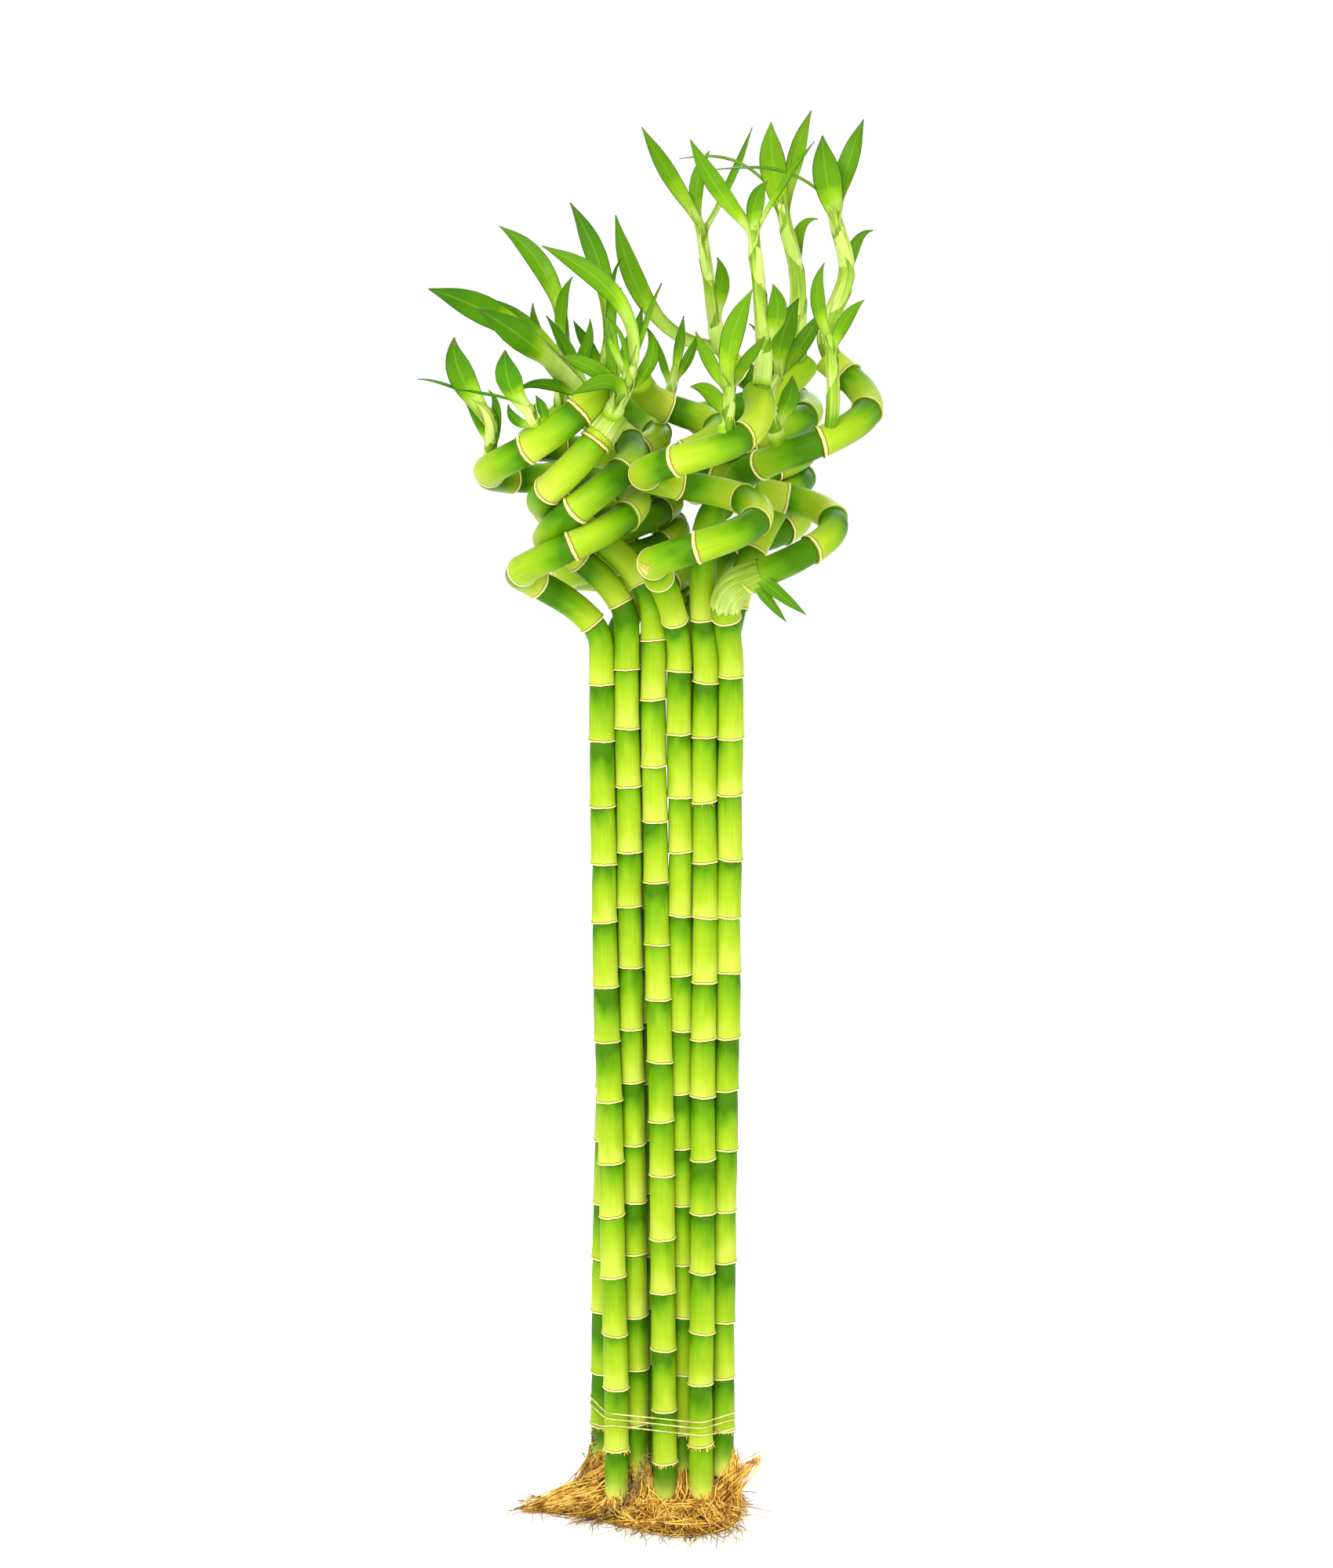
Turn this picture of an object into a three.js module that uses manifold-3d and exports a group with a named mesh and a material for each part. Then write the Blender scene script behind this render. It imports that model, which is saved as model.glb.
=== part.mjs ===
// Lucky bamboo: ten tied canes with coiled tops, leafy shoots and a root mat.
// Millimetres, +Z up. X runs left to right, Y runs away from the front.
// The origin is on the floor, under the middle of the root mat's flat underside.
import * as THREE from 'three';
import { mergeVertices } from 'three/addons/utils/BufferGeometryUtils.js';
import Module from 'manifold-3d';

const wasm = await Module();
wasm.setup();

// Dimensions
const CANE_R = 7.5;          // middle of an internode
const RING_R = 8.0;          // lip of a node ring
const WAIST_R = 7.2;         // just below a ring
const CANE_SIDES = 6;
const STEM_SIDES = 5;
const RUN_STEPS = 60;        // points on the straight run of a cane
const BEND_STEPS = 24;       // points on the bend into the coil
const COIL_STEP = 4;         // degrees between points in the coil
const COIL_SWELL = 1.3;      // the canes are a little thicker in the coils
const GAP = 0.3;             // free space between touching pieces
const COIL_DATUM = 626;      // height at which the coil centres are given
const TIP_RISE = 16;         // how far a cane's tip lifts out of its coil
const TIP_RUN = 55;
const NODE_STEP = 39;        // mean length of an internode on the straight run
const COIL_NODE_STEP = 42;   // and in the coil
const FIRST_NODE = 26;       // height of the lowest ring above a cane's foot
const LIP = 1.2;             // half the height of the step at a ring
const TIE_R = 0.95;
const TIE_TURNS = 3;
const TIE_STEPS = 22;        // points in one turn of the thread
const TIE_Z = 60;
const TIE_PITCH = 5.2;
const TIE_SLANT = 5;
const MAT_HALF = { x: 64, y: 40 };
const MAT_MIDDLE_X = -4;
const MAT_SIDES = 26;
const ROOTS = 42;            // thick root strands round the mat
const GOLDEN_ANGLE = 2.39996;
const SEAT_TOP = 140;        // the seats in the mat follow the canes up to here

// Coils: centre x and y at the datum, radius, growth of the radius and lean of
// the axis in x and y for each mm of height, tilt of the turns to the right,
// height at the left, rise for each turn, and a waist: its height, how much
// it narrows the coil, and the side on which it shows (1 left, -1 right).
const COILS = {
  left: {
    x: -54, y: -37, r: 38, flare: 0.10, leanX: -0.19, leanY: -0.02, tilt: 0.22,
    z: 626, pitch: 61.8, waistZ: 656, pinch: 8, side: 1,
  },
  middle: {
    x: 24, y: -75, r: 32, flare: 0.04, leanX: -0.04, leanY: -0.12, tilt: 0.06,
    z: 637, pitch: 55, waistZ: 660, pinch: 0, side: 1,
  },
  right: {
    x: 66, y: -10, r: 33, flare: 0.03, leanX: 0.24, leanY: -0.10, tilt: 0.10,
    z: 609, pitch: 74, waistZ: 686, pinch: 5, side: -1,
  },
  centre: {
    x: 12, y: 11, r: 23, flare: 0.02, leanX: -0.05, leanY: 0, tilt: 0.12,
    z: 639, pitch: 44, waistZ: 660, pinch: 0, side: 1,
  },
  backLeft: {
    x: -31, y: 72, r: 38.6, flare: 0.05, leanX: -0.25, leanY: 0.12, tilt: 0.10,
    z: 612, pitch: 41.8, waistZ: 660, pinch: 0, side: 1,
  },
  backRight: {
    x: 50, y: 90, r: 34.1, flare: 0.02, leanX: 0.08, leanY: 0.06, tilt: 0.05,
    z: 622, pitch: 44.5, waistZ: 660, pinch: 0, side: 1,
  },
};
const WAIST_HEIGHT = 18;
const SHIFT_FADE = 110;       // degrees over which the first turn's own shift fades away

// Canes: coil, lift of the cane's thread in that coil, angles at which the cane
// enters and leaves the coil, top of the straight run, and foot. A shift sets
// the start of the first turn aside from the coil, in x, y and z.
const CANES = [
  { coil: 'left', lift: 0, enter: 176, leave: 672, top: [-41.4, -7.3, 576], foot: [-33, -14, 10] },
  { coil: 'left', lift: 24.8, enter: 162, leave: 430, top: [-25, -7.3, 590], foot: [-20, -1, 20],
    shift: [12, -3, -2] },
  { coil: 'left', lift: 46.9, enter: 180, leave: 310, top: [-8.4, -7.3, 597], foot: [-0.8, -14, 8],
    shift: [24, 2, -4] },
  { coil: 'middle', lift: 0, enter: 175, leave: 740, top: [8.2, -7.3, 567], foot: [11, -1, 20] },
  { coil: 'centre', lift: 0, enter: 334, leave: 900, top: [24.6, -7.3, 559], foot: [22.5, -14, 9] },
  { coil: 'right', lift: 0, enter: 241, leave: 800, top: [40.9, -7.3, 563], foot: [36.5, -1, 22] },
  { coil: 'backLeft', lift: 18.8, enter: -47, leave: 790, top: [-33.6, 7.4, 569], foot: [-42, 11, 24] },
  { coil: 'backLeft', lift: 0, enter: 8, leave: 980, top: [-15.9, 7.4, 559], foot: [-11, 14, 15] },
  { coil: 'backRight', lift: 0, enter: 280, leave: 1050, top: [14.2, 10.8, 539], foot: [16.5, 14.5, 20] },
  { coil: 'backRight', lift: 25.4, enter: 335, leave: 840, top: [36.3, 7.4, 551], foot: [33, 15.5, 24] },
];

// Shoots: cane, distance of the foot from the cane's tip, stem points, stem
// radii, then the leaves: place on the stem, points, width, turn of the face.
const SHOOTS = [
  { cane: 1, back: 118, stem: [[-106, -70, 722], [-113, -72, 734]], r: [4.2, 2.6], leaves: [
    { at: 0.75, path: [[-124, -74, 752], [-127, -78, 774]], w: 17, turn: 10 },
    { at: 0.35, path: [[-103, -70, 730], [-107, -74, 742]], w: 8, turn: -30 },
    { at: 0.45, path: [[-115, -68, 726], [-122, -70, 736]], w: 7, turn: 30 },
    { at: 0.95, path: [[-130, -72, 744], [-149, -80, 749]], w: 3, turn: 60 } ] },
  { cane: 1, back: 44, stem: [[-79, -84, 722], [-82, -86, 734]], r: [4.2, 2.6], leaves: [
    { at: 0.75, path: [[-93, -88, 744], [-96, -92, 767]], w: 17, turn: -15 },
    { at: 0.35, path: [[-74, -86, 728], [-78, -90, 740]], w: 8, turn: -30 },
    { at: 0.45, path: [[-90, -82, 724], [-95, -82, 734]], w: 7, turn: 30 },
    { at: 0.95, path: [[-103, -92, 740], [-126, -98, 744]], w: 3, turn: 60 } ] },
  { cane: 2, back: 10, stem: [[-52, -12, 738], [-60, -14, 744]], r: [5.0, 4.0], leaves: [
    { at: 0.80, path: [[-96, -24, 778], [-145, -38, 801]], w: 19, turn: 12 },
    { at: 0.70, path: [[-80, 4, 766], [-116, 6, 795]], w: 18, turn: -20 },
    { at: 0.55, path: [[-80, -46, 766], [-114, -60, 790]], w: 18, turn: 6 },
    { at: 0.40, path: [[-72, -30, 742], [-92, -46, 740]], w: 9, turn: 40 },
    { at: 0.60, path: [[-62, -20, 764], [-74, -22, 784]], w: 10, turn: -30 } ] },
  { cane: 8, back: 12, stem: [[-66, 34, 742], [-64, 38, 762]], r: [4.4, 3.2], leaves: [
    { at: 0.90, path: [[-76, 44, 806], [-106, 52, 837]], w: 14, turn: 15 },
    { at: 0.80, path: [[-66, 34, 786], [-59, 26, 806]], w: 9, turn: -20 },
    { at: 0.45, path: [[-80, 30, 762], [-84, 24, 790]], w: 10, turn: 30 },
    { at: 0.35, path: [[-52, 30, 756], [-48, 24, 780]], w: 10, turn: -25 } ] },
  { cane: 7, back: 14, stem: [[-40, 104, 745], [-36, 104, 766]], r: [4.4, 3.2], leaves: [
    { at: 0.90, path: [[-42, 108, 806], [-63, 116, 851]], w: 15, turn: -10 },
    { at: 0.80, path: [[-36, 98, 796], [-29, 92, 816]], w: 5, turn: 30 },
    { at: 0.45, path: [[-50, 98, 756], [-60, 84, 776]], w: 10, turn: 35 },
    { at: 0.40, path: [[-22, 102, 762], [-16, 98, 784]], w: 11, turn: -30 } ] },
  { cane: 3, back: 10, stem: [[-26, -84, 742], [-20, -89, 758]], r: [4.8, 3.4], leaves: [
    { at: 0.90, path: [[-29, -88, 796], [-74, -84, 828]], w: 13, turn: 14 },
    { at: 0.85, path: [[-33, -80, 778], [-27, -72, 803]], w: 8, turn: -25 },
    { at: 0.25, path: [[-32, -98, 747], [-56, -108, 742]], w: 15, turn: 48 },
    { at: 0.60, path: [[-44, -92, 756], [-64, -96, 764]], w: 11, turn: 20 },
    { at: 0.50, path: [[-9, -84, 760], [-12, -78, 780]], w: 11, turn: -35 },
    { at: 0.85, path: [[-12, -86, 784], [-3, -82, 806]], w: 4, turn: 20 },
    { at: 0.35, path: [[-33, -82, 762], [-35, -78, 783]], w: 7, turn: -10 },
    { at: 0.45, path: [[-24, -94, 766], [-36, -98, 788]], w: 4, turn: 30 } ] },
  { cane: 10, back: 10, stem: [[34, 122, 762], [27, 118, 806], [22, 116, 838]], r: [4.8, 2.8], leaves: [
    { at: 0.98, path: [[2, 114, 868], [-16, 108, 899]], w: 12, turn: 10 },
    { at: 0.96, path: [[20, 118, 862], [28, 122, 884]], w: 11, turn: -25 },
    { at: 0.94, path: [[40, 122, 862], [56, 130, 899]], w: 6, turn: 30 },
    { at: 0.20, path: [[-8, 112, 778], [-33, 104, 843]], w: 15, turn: 18 },
    { at: 0.40, path: [[36, 112, 800], [33, 106, 816]], w: 11, turn: -20 } ] },
  { cane: 4, back: 12, stem: [[58, -80, 764], [55, -82, 806], [51, -82, 838]], r: [5.2, 2.9], leaves: [
    { at: 0.98, path: [[30, -84, 862], [14, -90, 890]], w: 12, turn: -12 },
    { at: 0.96, path: [[52, -80, 852], [60, -76, 866]], w: 12, turn: 25 },
    { at: 0.94, path: [[68, -84, 862], [87, -92, 889]], w: 5, turn: -40 },
    { at: 0.35, path: [[66, -86, 786], [63, -92, 806]], w: 13, turn: 15 } ] },
  { cane: 9, back: 10, stem: [[84, 66, 776], [83, 62, 808], [72, 60, 852]], r: [6.2, 3.4], leaves: [
    { at: 0.96, path: [[67, 56, 878], [66, 54, 902]], w: 18, turn: -6 },
    { at: 0.94, path: [[80, 66, 876], [92, 72, 909]], w: 13, turn: 30 },
    { at: 0.42, path: [[84, 68, 830], [97, 76, 841]], w: 10, turn: -25 },
    { at: 0.90, path: [[50, 58, 874], [8, 48, 879]], w: 5, turn: 70 } ] },
  { cane: 6, back: 10, stem: [[100, 10, 772], [112, 8, 810], [103, 6, 848]], r: [6.4, 3.6], leaves: [
    { at: 0.96, path: [[98, 2, 872], [96, 0, 893]], w: 19, turn: 8 },
    { at: 0.94, path: [[111, 10, 870], [122, 16, 903]], w: 14, turn: -25 },
    { at: 0.42, path: [[116, 14, 824], [129, 22, 835]], w: 10, turn: 25 },
    { at: 0.90, path: [[80, 4, 868], [27, -4, 872]], w: 5, turn: 70 } ] },
  { cane: 6, back: 98, stem: [[101, -62, 740], [98, -66, 776]], r: [4.4, 3.0], leaves: [
    { at: 0.90, path: [[90, -74, 796], [94, -82, 818]], w: 10, turn: 20 },
    { at: 0.80, path: [[108, -72, 784], [118, -80, 796]], w: 9, turn: -20 } ] },
  { cane: 4, back: 62, stem: [[36, -116, 730], [37, -118, 748]], r: [4.8, 3.0], leaves: [
    { at: 0.85, path: [[25, -122, 762], [17, -128, 780]], w: 9, turn: 20 },
    { at: 0.95, path: [[38, -122, 774], [50, -128, 804]], w: 14, turn: -12 },
    { at: 0.90, path: [[48, -114, 762], [58, -108, 776]], w: 9, turn: -35 },
    { at: 0.40, path: [[26, -122, 742], [14, -130, 748]], w: 13, turn: 40 } ] },
  { cane: 6, back: 130, stem: [[62, -50, 734], [68, -49, 750]], r: [5.0, 3.2], leaves: [
    { at: 0.90, path: [[64, -50, 764], [50, -58, 781]], w: 6, turn: 30 },
    { at: 0.95, path: [[70, -50, 772], [80, -54, 796]], w: 15, turn: 8 },
    { at: 0.85, path: [[80, -44, 764], [97, -42, 790]], w: 12, turn: -25 },
    { at: 0.35, path: [[74, -55, 734], [76, -63, 750]], w: 12, turn: -10 } ] },
  { cane: 7, back: 46, stem: [[0, 70, 722], [6, 68, 748]], r: [4.2, 2.6], leaves: [
    { at: 0.85, path: [[8, 67, 760], [11, 66, 780]], w: 7, turn: 10 },
    { at: 0.70, path: [[-2, 68, 748], [-6, 66, 764]], w: 6, turn: -25 },
    { at: 0.75, path: [[14, 70, 752], [20, 72, 768]], w: 8, turn: 30 },
    { at: 0.35, path: [[-6, 66, 728], [-12, 64, 744]], w: 7, turn: -30 } ] },
];

// Helpers
const rad = (deg) => deg * Math.PI / 180;
const vec = (a) => new THREE.Vector3(a[0], a[1], a[2]);

/** Seeded random numbers between 0 and 1. */
function seeded(seed) {
  let state = seed >>> 0;
  return () => {
    state = (Math.imul(state, 1664525) + 1013904223) >>> 0;
    return state / 4294967296;
  };
}

/** Closed body through rings of points that all have the same count. */
function loft(rings) {
  const n = rings[0].length;
  const position = [];
  rings.forEach((ring) => ring.forEach((p) => position.push(p.x, p.y, p.z)));
  const index = [];
  for (let k = 0; k + 1 < rings.length; k += 1) {
    for (let i = 0; i < n; i += 1) {
      const a = k * n + i;
      const b = k * n + (i + 1) % n;
      index.push(a, b, b + n, a, b + n, a + n);
    }
  }
  const last = (rings.length - 1) * n;
  for (let i = 1; i + 1 < n; i += 1) {
    index.push(0, i + 1, i);
    index.push(last, last + i, last + i + 1);
  }
  const geometry = new THREE.BufferGeometry();
  geometry.setAttribute('position', new THREE.Float32BufferAttribute(position, 3));
  geometry.setIndex(index);
  return geometry;
}

/** Geometry to a solid for cutting and joining. */
function solid(geometry) {
  const source = geometry.clone();
  source.deleteAttribute('normal');
  source.deleteAttribute('uv');
  const merged = mergeVertices(source, 1e-4);
  return new wasm.Manifold(new wasm.Mesh({
    numProp: 3,
    vertProperties: new Float32Array(merged.attributes.position.array),
    triVerts: new Uint32Array(merged.index.array),
  }));
}

/** The largest piece of a solid, as a geometry. */
function geometryOf(body) {
  const parts = body.decompose();
  parts.sort((a, b) => b.volume() - a.volume());
  const mesh = parts[0].getMesh();
  const geometry = new THREE.BufferGeometry();
  geometry.setAttribute('position', new THREE.Float32BufferAttribute(mesh.vertProperties, 3));
  geometry.setIndex(Array.from(mesh.triVerts));
  return geometry;
}

/** Frames carried along a line of points without twist. */
function frames(points, start) {
  const out = [];
  let side = start.clone();
  for (let i = 0; i < points.length; i += 1) {
    const a = points[Math.max(0, i - 1)];
    const b = points[Math.min(points.length - 1, i + 1)];
    const along = b.clone().sub(a).normalize();
    side.addScaledVector(along, -side.dot(along)).normalize();
    out.push({ point: points[i], along, side: side.clone(), up: along.clone().cross(side) });
  }
  return out;
}

/** Rings of a round tube with a radius for each point. */
function tubeRings(points, radii, sides) {
  return frames(points, new THREE.Vector3(1, 0.2, 0.1)).map((f, k) => {
    const ring = [];
    for (let i = 0; i < sides; i += 1) {
      const a = i * 2 * Math.PI / sides;
      ring.push(f.point.clone()
        .addScaledVector(f.side, radii[k] * Math.cos(a))
        .addScaledVector(f.up, radii[k] * Math.sin(a)));
    }
    return ring;
  });
}

function tube(points, radii, sides) {
  return loft(tubeRings(points, radii, sides));
}

/** Length table of a line of points. */
function lengths(points) {
  const out = [0];
  for (let i = 1; i < points.length; i += 1) {
    out.push(out[i - 1] + points[i].distanceTo(points[i - 1]));
  }
  return out;
}

/** Point at a length along a line of points. */
function pointAt(points, table, s) {
  const t = Math.min(Math.max(s, 0), table[table.length - 1]);
  let i = 1;
  while (i < table.length - 1 && table[i] < t) i += 1;
  const f = (t - table[i - 1]) / (table[i] - table[i - 1]);
  return points[i - 1].clone().lerp(points[i], f);
}

// Canes
/** Point of a cane's coil at an angle in degrees. */
function coilPoint(cane, angle) {
  const coil = COILS[cane.coil];
  const turn = Math.cos(rad(angle));
  const z = coil.z + cane.lift + coil.pitch * (angle - 180) / 360;
  const left = rad(cane.leave - angle) * coil.r;
  const rise = left < TIP_RUN ? TIP_RISE * (1 - left / TIP_RUN) ** 2 : 0;
  const above = z - COIL_DATUM;
  const waist = coil.pinch * Math.exp(-(((z - coil.waistZ) / WAIST_HEIGHT) ** 2));
  const radius = coil.r + coil.flare * above - waist;
  const fade = Math.exp(-(((angle - cane.enter) / SHIFT_FADE) ** 2));
  const shift = cane.shift ?? [0, 0, 0];
  return new THREE.Vector3(
    coil.x + radius * turn + coil.leanX * above + waist * coil.side + shift[0] * fade,
    coil.y + radius * Math.sin(rad(angle)) + coil.leanY * above + shift[1] * fade,
    z + coil.tilt * radius * (turn + 1) + rise + shift[2] * fade,
  );
}

/** Centre line of a cane: straight run, bend and coil. */
function caneLine(cane) {
  const foot = vec(cane.foot);
  const top = vec(cane.top);
  const points = [];
  for (let k = 0; k < RUN_STEPS; k += 1) {
    const t = k / RUN_STEPS;
    const w = t * t * (3 - 2 * t);
    points.push(new THREE.Vector3(
      foot.x + (top.x - foot.x) * w,
      foot.y + (top.y - foot.y) * w,
      foot.z + (top.z - foot.z) * t,
    ));
  }
  const join = coilPoint(cane, cane.enter);
  const heading = coilPoint(cane, cane.enter + 0.5).sub(coilPoint(cane, cane.enter - 0.5));
  heading.normalize();
  const span = join.distanceTo(top);
  // a cubic through both ends, upright at the lower one and along the coil at the other
  for (let k = 0; k < BEND_STEPS; k += 1) {
    const t = k / BEND_STEPS;
    const a = 2 * t ** 3 - 3 * t ** 2 + 1;
    const b = t ** 3 - 2 * t ** 2 + t;
    const c = 3 * t ** 2 - 2 * t ** 3;
    const d = t ** 3 - t ** 2;
    points.push(new THREE.Vector3()
      .addScaledVector(top, a)
      .addScaledVector(new THREE.Vector3(0, 0, 1), b * span)
      .addScaledVector(join, c)
      .addScaledVector(heading, d * span * 1.1));
  }
  const steps = Math.round((cane.leave - cane.enter) / COIL_STEP);
  for (let k = 0; k <= steps; k += 1) {
    points.push(coilPoint(cane, cane.enter + (cane.leave - cane.enter) * k / steps));
  }
  return points;
}

/** Lengths along a cane at which its node rings sit. */
function nodePlaces(number, straight, total) {
  const out = [];
  let s = FIRST_NODE + 5 * Math.sin(number * 2.1);
  let k = 0;
  while (s < total - 9) {
    out.push(s);
    const step = s < straight ? NODE_STEP : COIL_NODE_STEP;
    s += step + 3.5 * Math.sin(k * 2.3 + number * 1.7);
    k += 1;
  }
  return out;
}

const caneLines = CANES.map(caneLine);
const caneTables = caneLines.map(lengths);

/** A cane, or a stretch of it grown on all sides for cutting a seat. */
function caneGeometry(i, grow = 0, from = 0, to = Infinity) {
  const line = caneLines[i];
  const table = caneTables[i];
  const total = table[table.length - 1];
  const straight = table[RUN_STEPS];
  const marks = nodePlaces(i + 1, straight, total);
  const stations = [{ s: 0, r: CANE_R }];
  marks.forEach((s, k) => {
    const next = marks[k + 1] ?? total;
    if (s < straight - 12) {
      stations.push({ s: s - LIP, r: WAIST_R }, { s: s + LIP, r: RING_R });
    } else {
      stations.push({ s, r: RING_R });
      stations.push({ s: s + (next - s) * 0.36, r: CANE_R }, { s: s + (next - s) * 0.68, r: CANE_R });
    }
  });
  stations.push({ s: total, r: WAIST_R });
  const points = stations.map((q) => pointAt(line, table, q.s));
  const coiled = table[RUN_STEPS + BEND_STEPS];
  const swell = (place) => COIL_SWELL * THREE.MathUtils.smoothstep(place, straight, coiled);
  const rings = tubeRings(points, stations.map((q) => q.r + grow + swell(q.s)), CANE_SIDES);
  return loft(rings.filter((ring, k) => stations[k].s >= from && stations[k].s <= to));
}

// Shoots
// Places along a blade, and its width there as a share of the full width.
const LEAF_AT = [0, 0.22, 0.46, 0.66, 0.87, 1];
const LEAF_WIDTH = [0.3, 0.46, 0.9, 1, 0.5, 0.06];
const BLADE_HALF = 0.45;     // half the thickness of a blade
const SOCKET_HALF = 1.5;     // and of its clasping foot
const LONG_LEAF = 40;
const SEAT_REACH = 75;       // stretch of cane on each side that a shoot's foot is cut by

/** A leaf blade from a point on its stem: a thin body that tapers to its tip. */
function leafGeometry(start, leaf) {
  const mid = vec(leaf.path[0]);
  const tip = vec(leaf.path[1]);
  // the curve passes through the middle point
  const control = mid.clone().multiplyScalar(2).sub(start.clone().add(tip).multiplyScalar(0.5));
  const curve = new THREE.QuadraticBezierCurve3(start, control, tip);
  const length = curve.getLength();
  const rings = LEAF_AT.map((t, k) => {
    const p = curve.getPoint(t);
    const along = curve.getTangent(t);
    let side = new THREE.Vector3().crossVectors(along, new THREE.Vector3(0, -1, 0));
    if (side.length() < 0.2) side = new THREE.Vector3(1, 0, 0);
    side.normalize().applyAxisAngle(along, rad(leaf.turn));
    const face = new THREE.Vector3().crossVectors(side, along).normalize();
    const half = Math.max(leaf.w * LEAF_WIDTH[k] / 2, 0.5);
    const thick = (k === 0 ? SOCKET_HALF : BLADE_HALF) + (length > LONG_LEAF && k === 1 ? 0.25 : 0);
    return [
      p.clone().addScaledVector(side, half).addScaledVector(face, thick),
      p.clone().addScaledVector(side, -half).addScaledVector(face, thick),
      p.clone().addScaledVector(side, -half).addScaledVector(face, -thick),
      p.clone().addScaledVector(side, half).addScaledVector(face, -thick),
    ];
  });
  return loft(rings);
}

/** A loft as a solid, with its faces turned out whichever way its rings run. */
function outwardSolid(geometry) {
  const body = solid(geometry);
  if (body.volume() > 0) return body;
  const flipped = Array.from(geometry.index.array);
  for (let i = 0; i < flipped.length; i += 3) {
    [flipped[i], flipped[i + 1]] = [flipped[i + 1], flipped[i]];
  }
  geometry.setIndex(flipped);
  return solid(geometry);
}

/** A leafy shoot: stem and blades in one body, its foot cut to the cane. */
function shootGeometry(shoot) {
  const i = shoot.cane - 1;
  const table = caneTables[i];
  const total = table[table.length - 1];
  const place = total - shoot.back;
  const foot = pointAt(caneLines[i], table, place);
  const stem = [foot, ...shoot.stem.map(vec)];
  const curve = new THREE.CatmullRomCurve3(stem, false, 'centripetal');
  const count = stem.length === 3 ? 5 : 8;
  const points = [];
  const radii = [];
  for (let k = 0; k <= count; k += 1) {
    points.push(curve.getPoint(k / count));
    radii.push(shoot.r[0] + (shoot.r[1] - shoot.r[0]) * k / count);
  }
  let body = outwardSolid(tube(points, radii, STEM_SIDES));
  shoot.leaves.forEach((leaf) => {
    body = body.add(outwardSolid(leafGeometry(curve.getPoint(leaf.at), leaf)));
  });
  body = body.subtract(solid(caneGeometry(i, GAP, place - SEAT_REACH, place + SEAT_REACH)));
  return geometryOf(body);
}

// Tie
/** Outline that a thread pulled round the canes follows at a height. */
function tiePoint(angle, z) {
  const dir = new THREE.Vector3(Math.cos(angle), Math.sin(angle), 0);
  let best = null;
  caneLines.forEach((line, i) => {
    const c = pointAt(line, caneTables[i], z - line[0].z);
    const reach = c.dot(dir);
    if (best === null || reach > best.reach) best = { reach, c };
  });
  return best.c.clone().setZ(z).addScaledVector(dir, RING_R + GAP + 0.15 + TIE_R);
}

/** The thread: a few slanting turns drawn tight round the canes. */
function tieGeometry() {
  const points = [];
  for (let k = 0; k <= TIE_TURNS * TIE_STEPS; k += 1) {
    const turn = k / TIE_STEPS;
    const angle = turn * 2 * Math.PI - 2.2;
    const slant = TIE_SLANT * Math.cos(angle + 2.6 + turn * 0.5);
    points.push(tiePoint(angle, TIE_Z + TIE_PITCH * turn + slant));
  }
  return tube(points, points.map(() => TIE_R), 4);
}

// Roots
/** The packed middle of the root mat, with an uneven rim. */
function matPad(random) {
  const levels = [
    { z: 0, grow: 0.9 }, { z: 5, grow: 1.0 }, { z: 13, grow: 0.86 }, { z: 22, grow: 0.62 },
    { z: 29, grow: 0.42 },
  ];
  const rim = Array.from({ length: MAT_SIDES }, () => 0.88 + 0.2 * random());
  return levels.map((level, k) => rim.map((lobe, i) => {
    const a = i * 2 * Math.PI / MAT_SIDES;
    const grow = level.grow * lobe;
    const y = (k < 3 ? 0 : 5) + MAT_HALF.y * grow * Math.sin(a);
    const x = MAT_MIDDLE_X + MAT_HALF.x * grow * Math.cos(a);
    return new THREE.Vector3(x, y, level.z * (k < 2 ? 1 : 1 + 0.006 * y));
  }));
}

/** One thick root strand that runs out of the mat and down to the floor. */
function rootStrand(i, random) {
  const a = i * GOLDEN_ANGLE + 0.4 * random();
  const reach = 14 + 22 * random();
  const from = new THREE.Vector3(
    MAT_MIDDLE_X + 44 * Math.cos(a),
    26 * Math.sin(a),
    8 + 10 * random(),
  );
  const stretch = Math.cos(a) < 0 ? 1.25 : 0.75;
  const to = new THREE.Vector3(
    from.x + (reach * 1.25 + 16) * Math.cos(a + 0.5 * (random() - 0.5)) * stretch,
    from.y + (reach + 10) * Math.sin(a + 0.5 * (random() - 0.5)),
    1.6 + (i % 5 === 0 ? 12 * random() : 2.5 * random()),
  );
  const bow = new THREE.Vector3((random() - 0.5) * 12, (random() - 0.5) * 12, 5 + 5 * random());
  const control = from.clone().lerp(to, 0.55).add(bow);
  const curve = new THREE.QuadraticBezierCurve3(from, control, to);
  const points = [0, 0.35, 0.7, 1].map((t) => curve.getPoint(t));
  points.forEach((p) => { p.z = Math.max(p.z, 1.3); });
  return tube(points, [2.4, 2.1, 1.7, 0.9], 3);
}

/** The root mat, with a seat for each cane and a flat underside. */
function matGeometry() {
  const random = seeded(4711);
  let body = solid(loft(matPad(random)));
  for (let i = 0; i < ROOTS; i += 1) body = body.add(solid(rootStrand(i, random)));
  CANES.forEach((cane, i) => {
    body = body.subtract(solid(caneGeometry(i, GAP + 0.1, -1, SEAT_TOP)));
    const [x, y, z] = cane.foot;
    const end = new THREE.CylinderGeometry(RING_R + GAP, RING_R + GAP, 3, 12).rotateX(Math.PI / 2);
    body = body.subtract(solid(end.translate(x, y, z + 1.5 - GAP)));
  });
  const floor = new THREE.BoxGeometry(600, 600, 100).translate(0, 0, -50);
  return geometryOf(body.subtract(solid(floor)));
}

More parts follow.
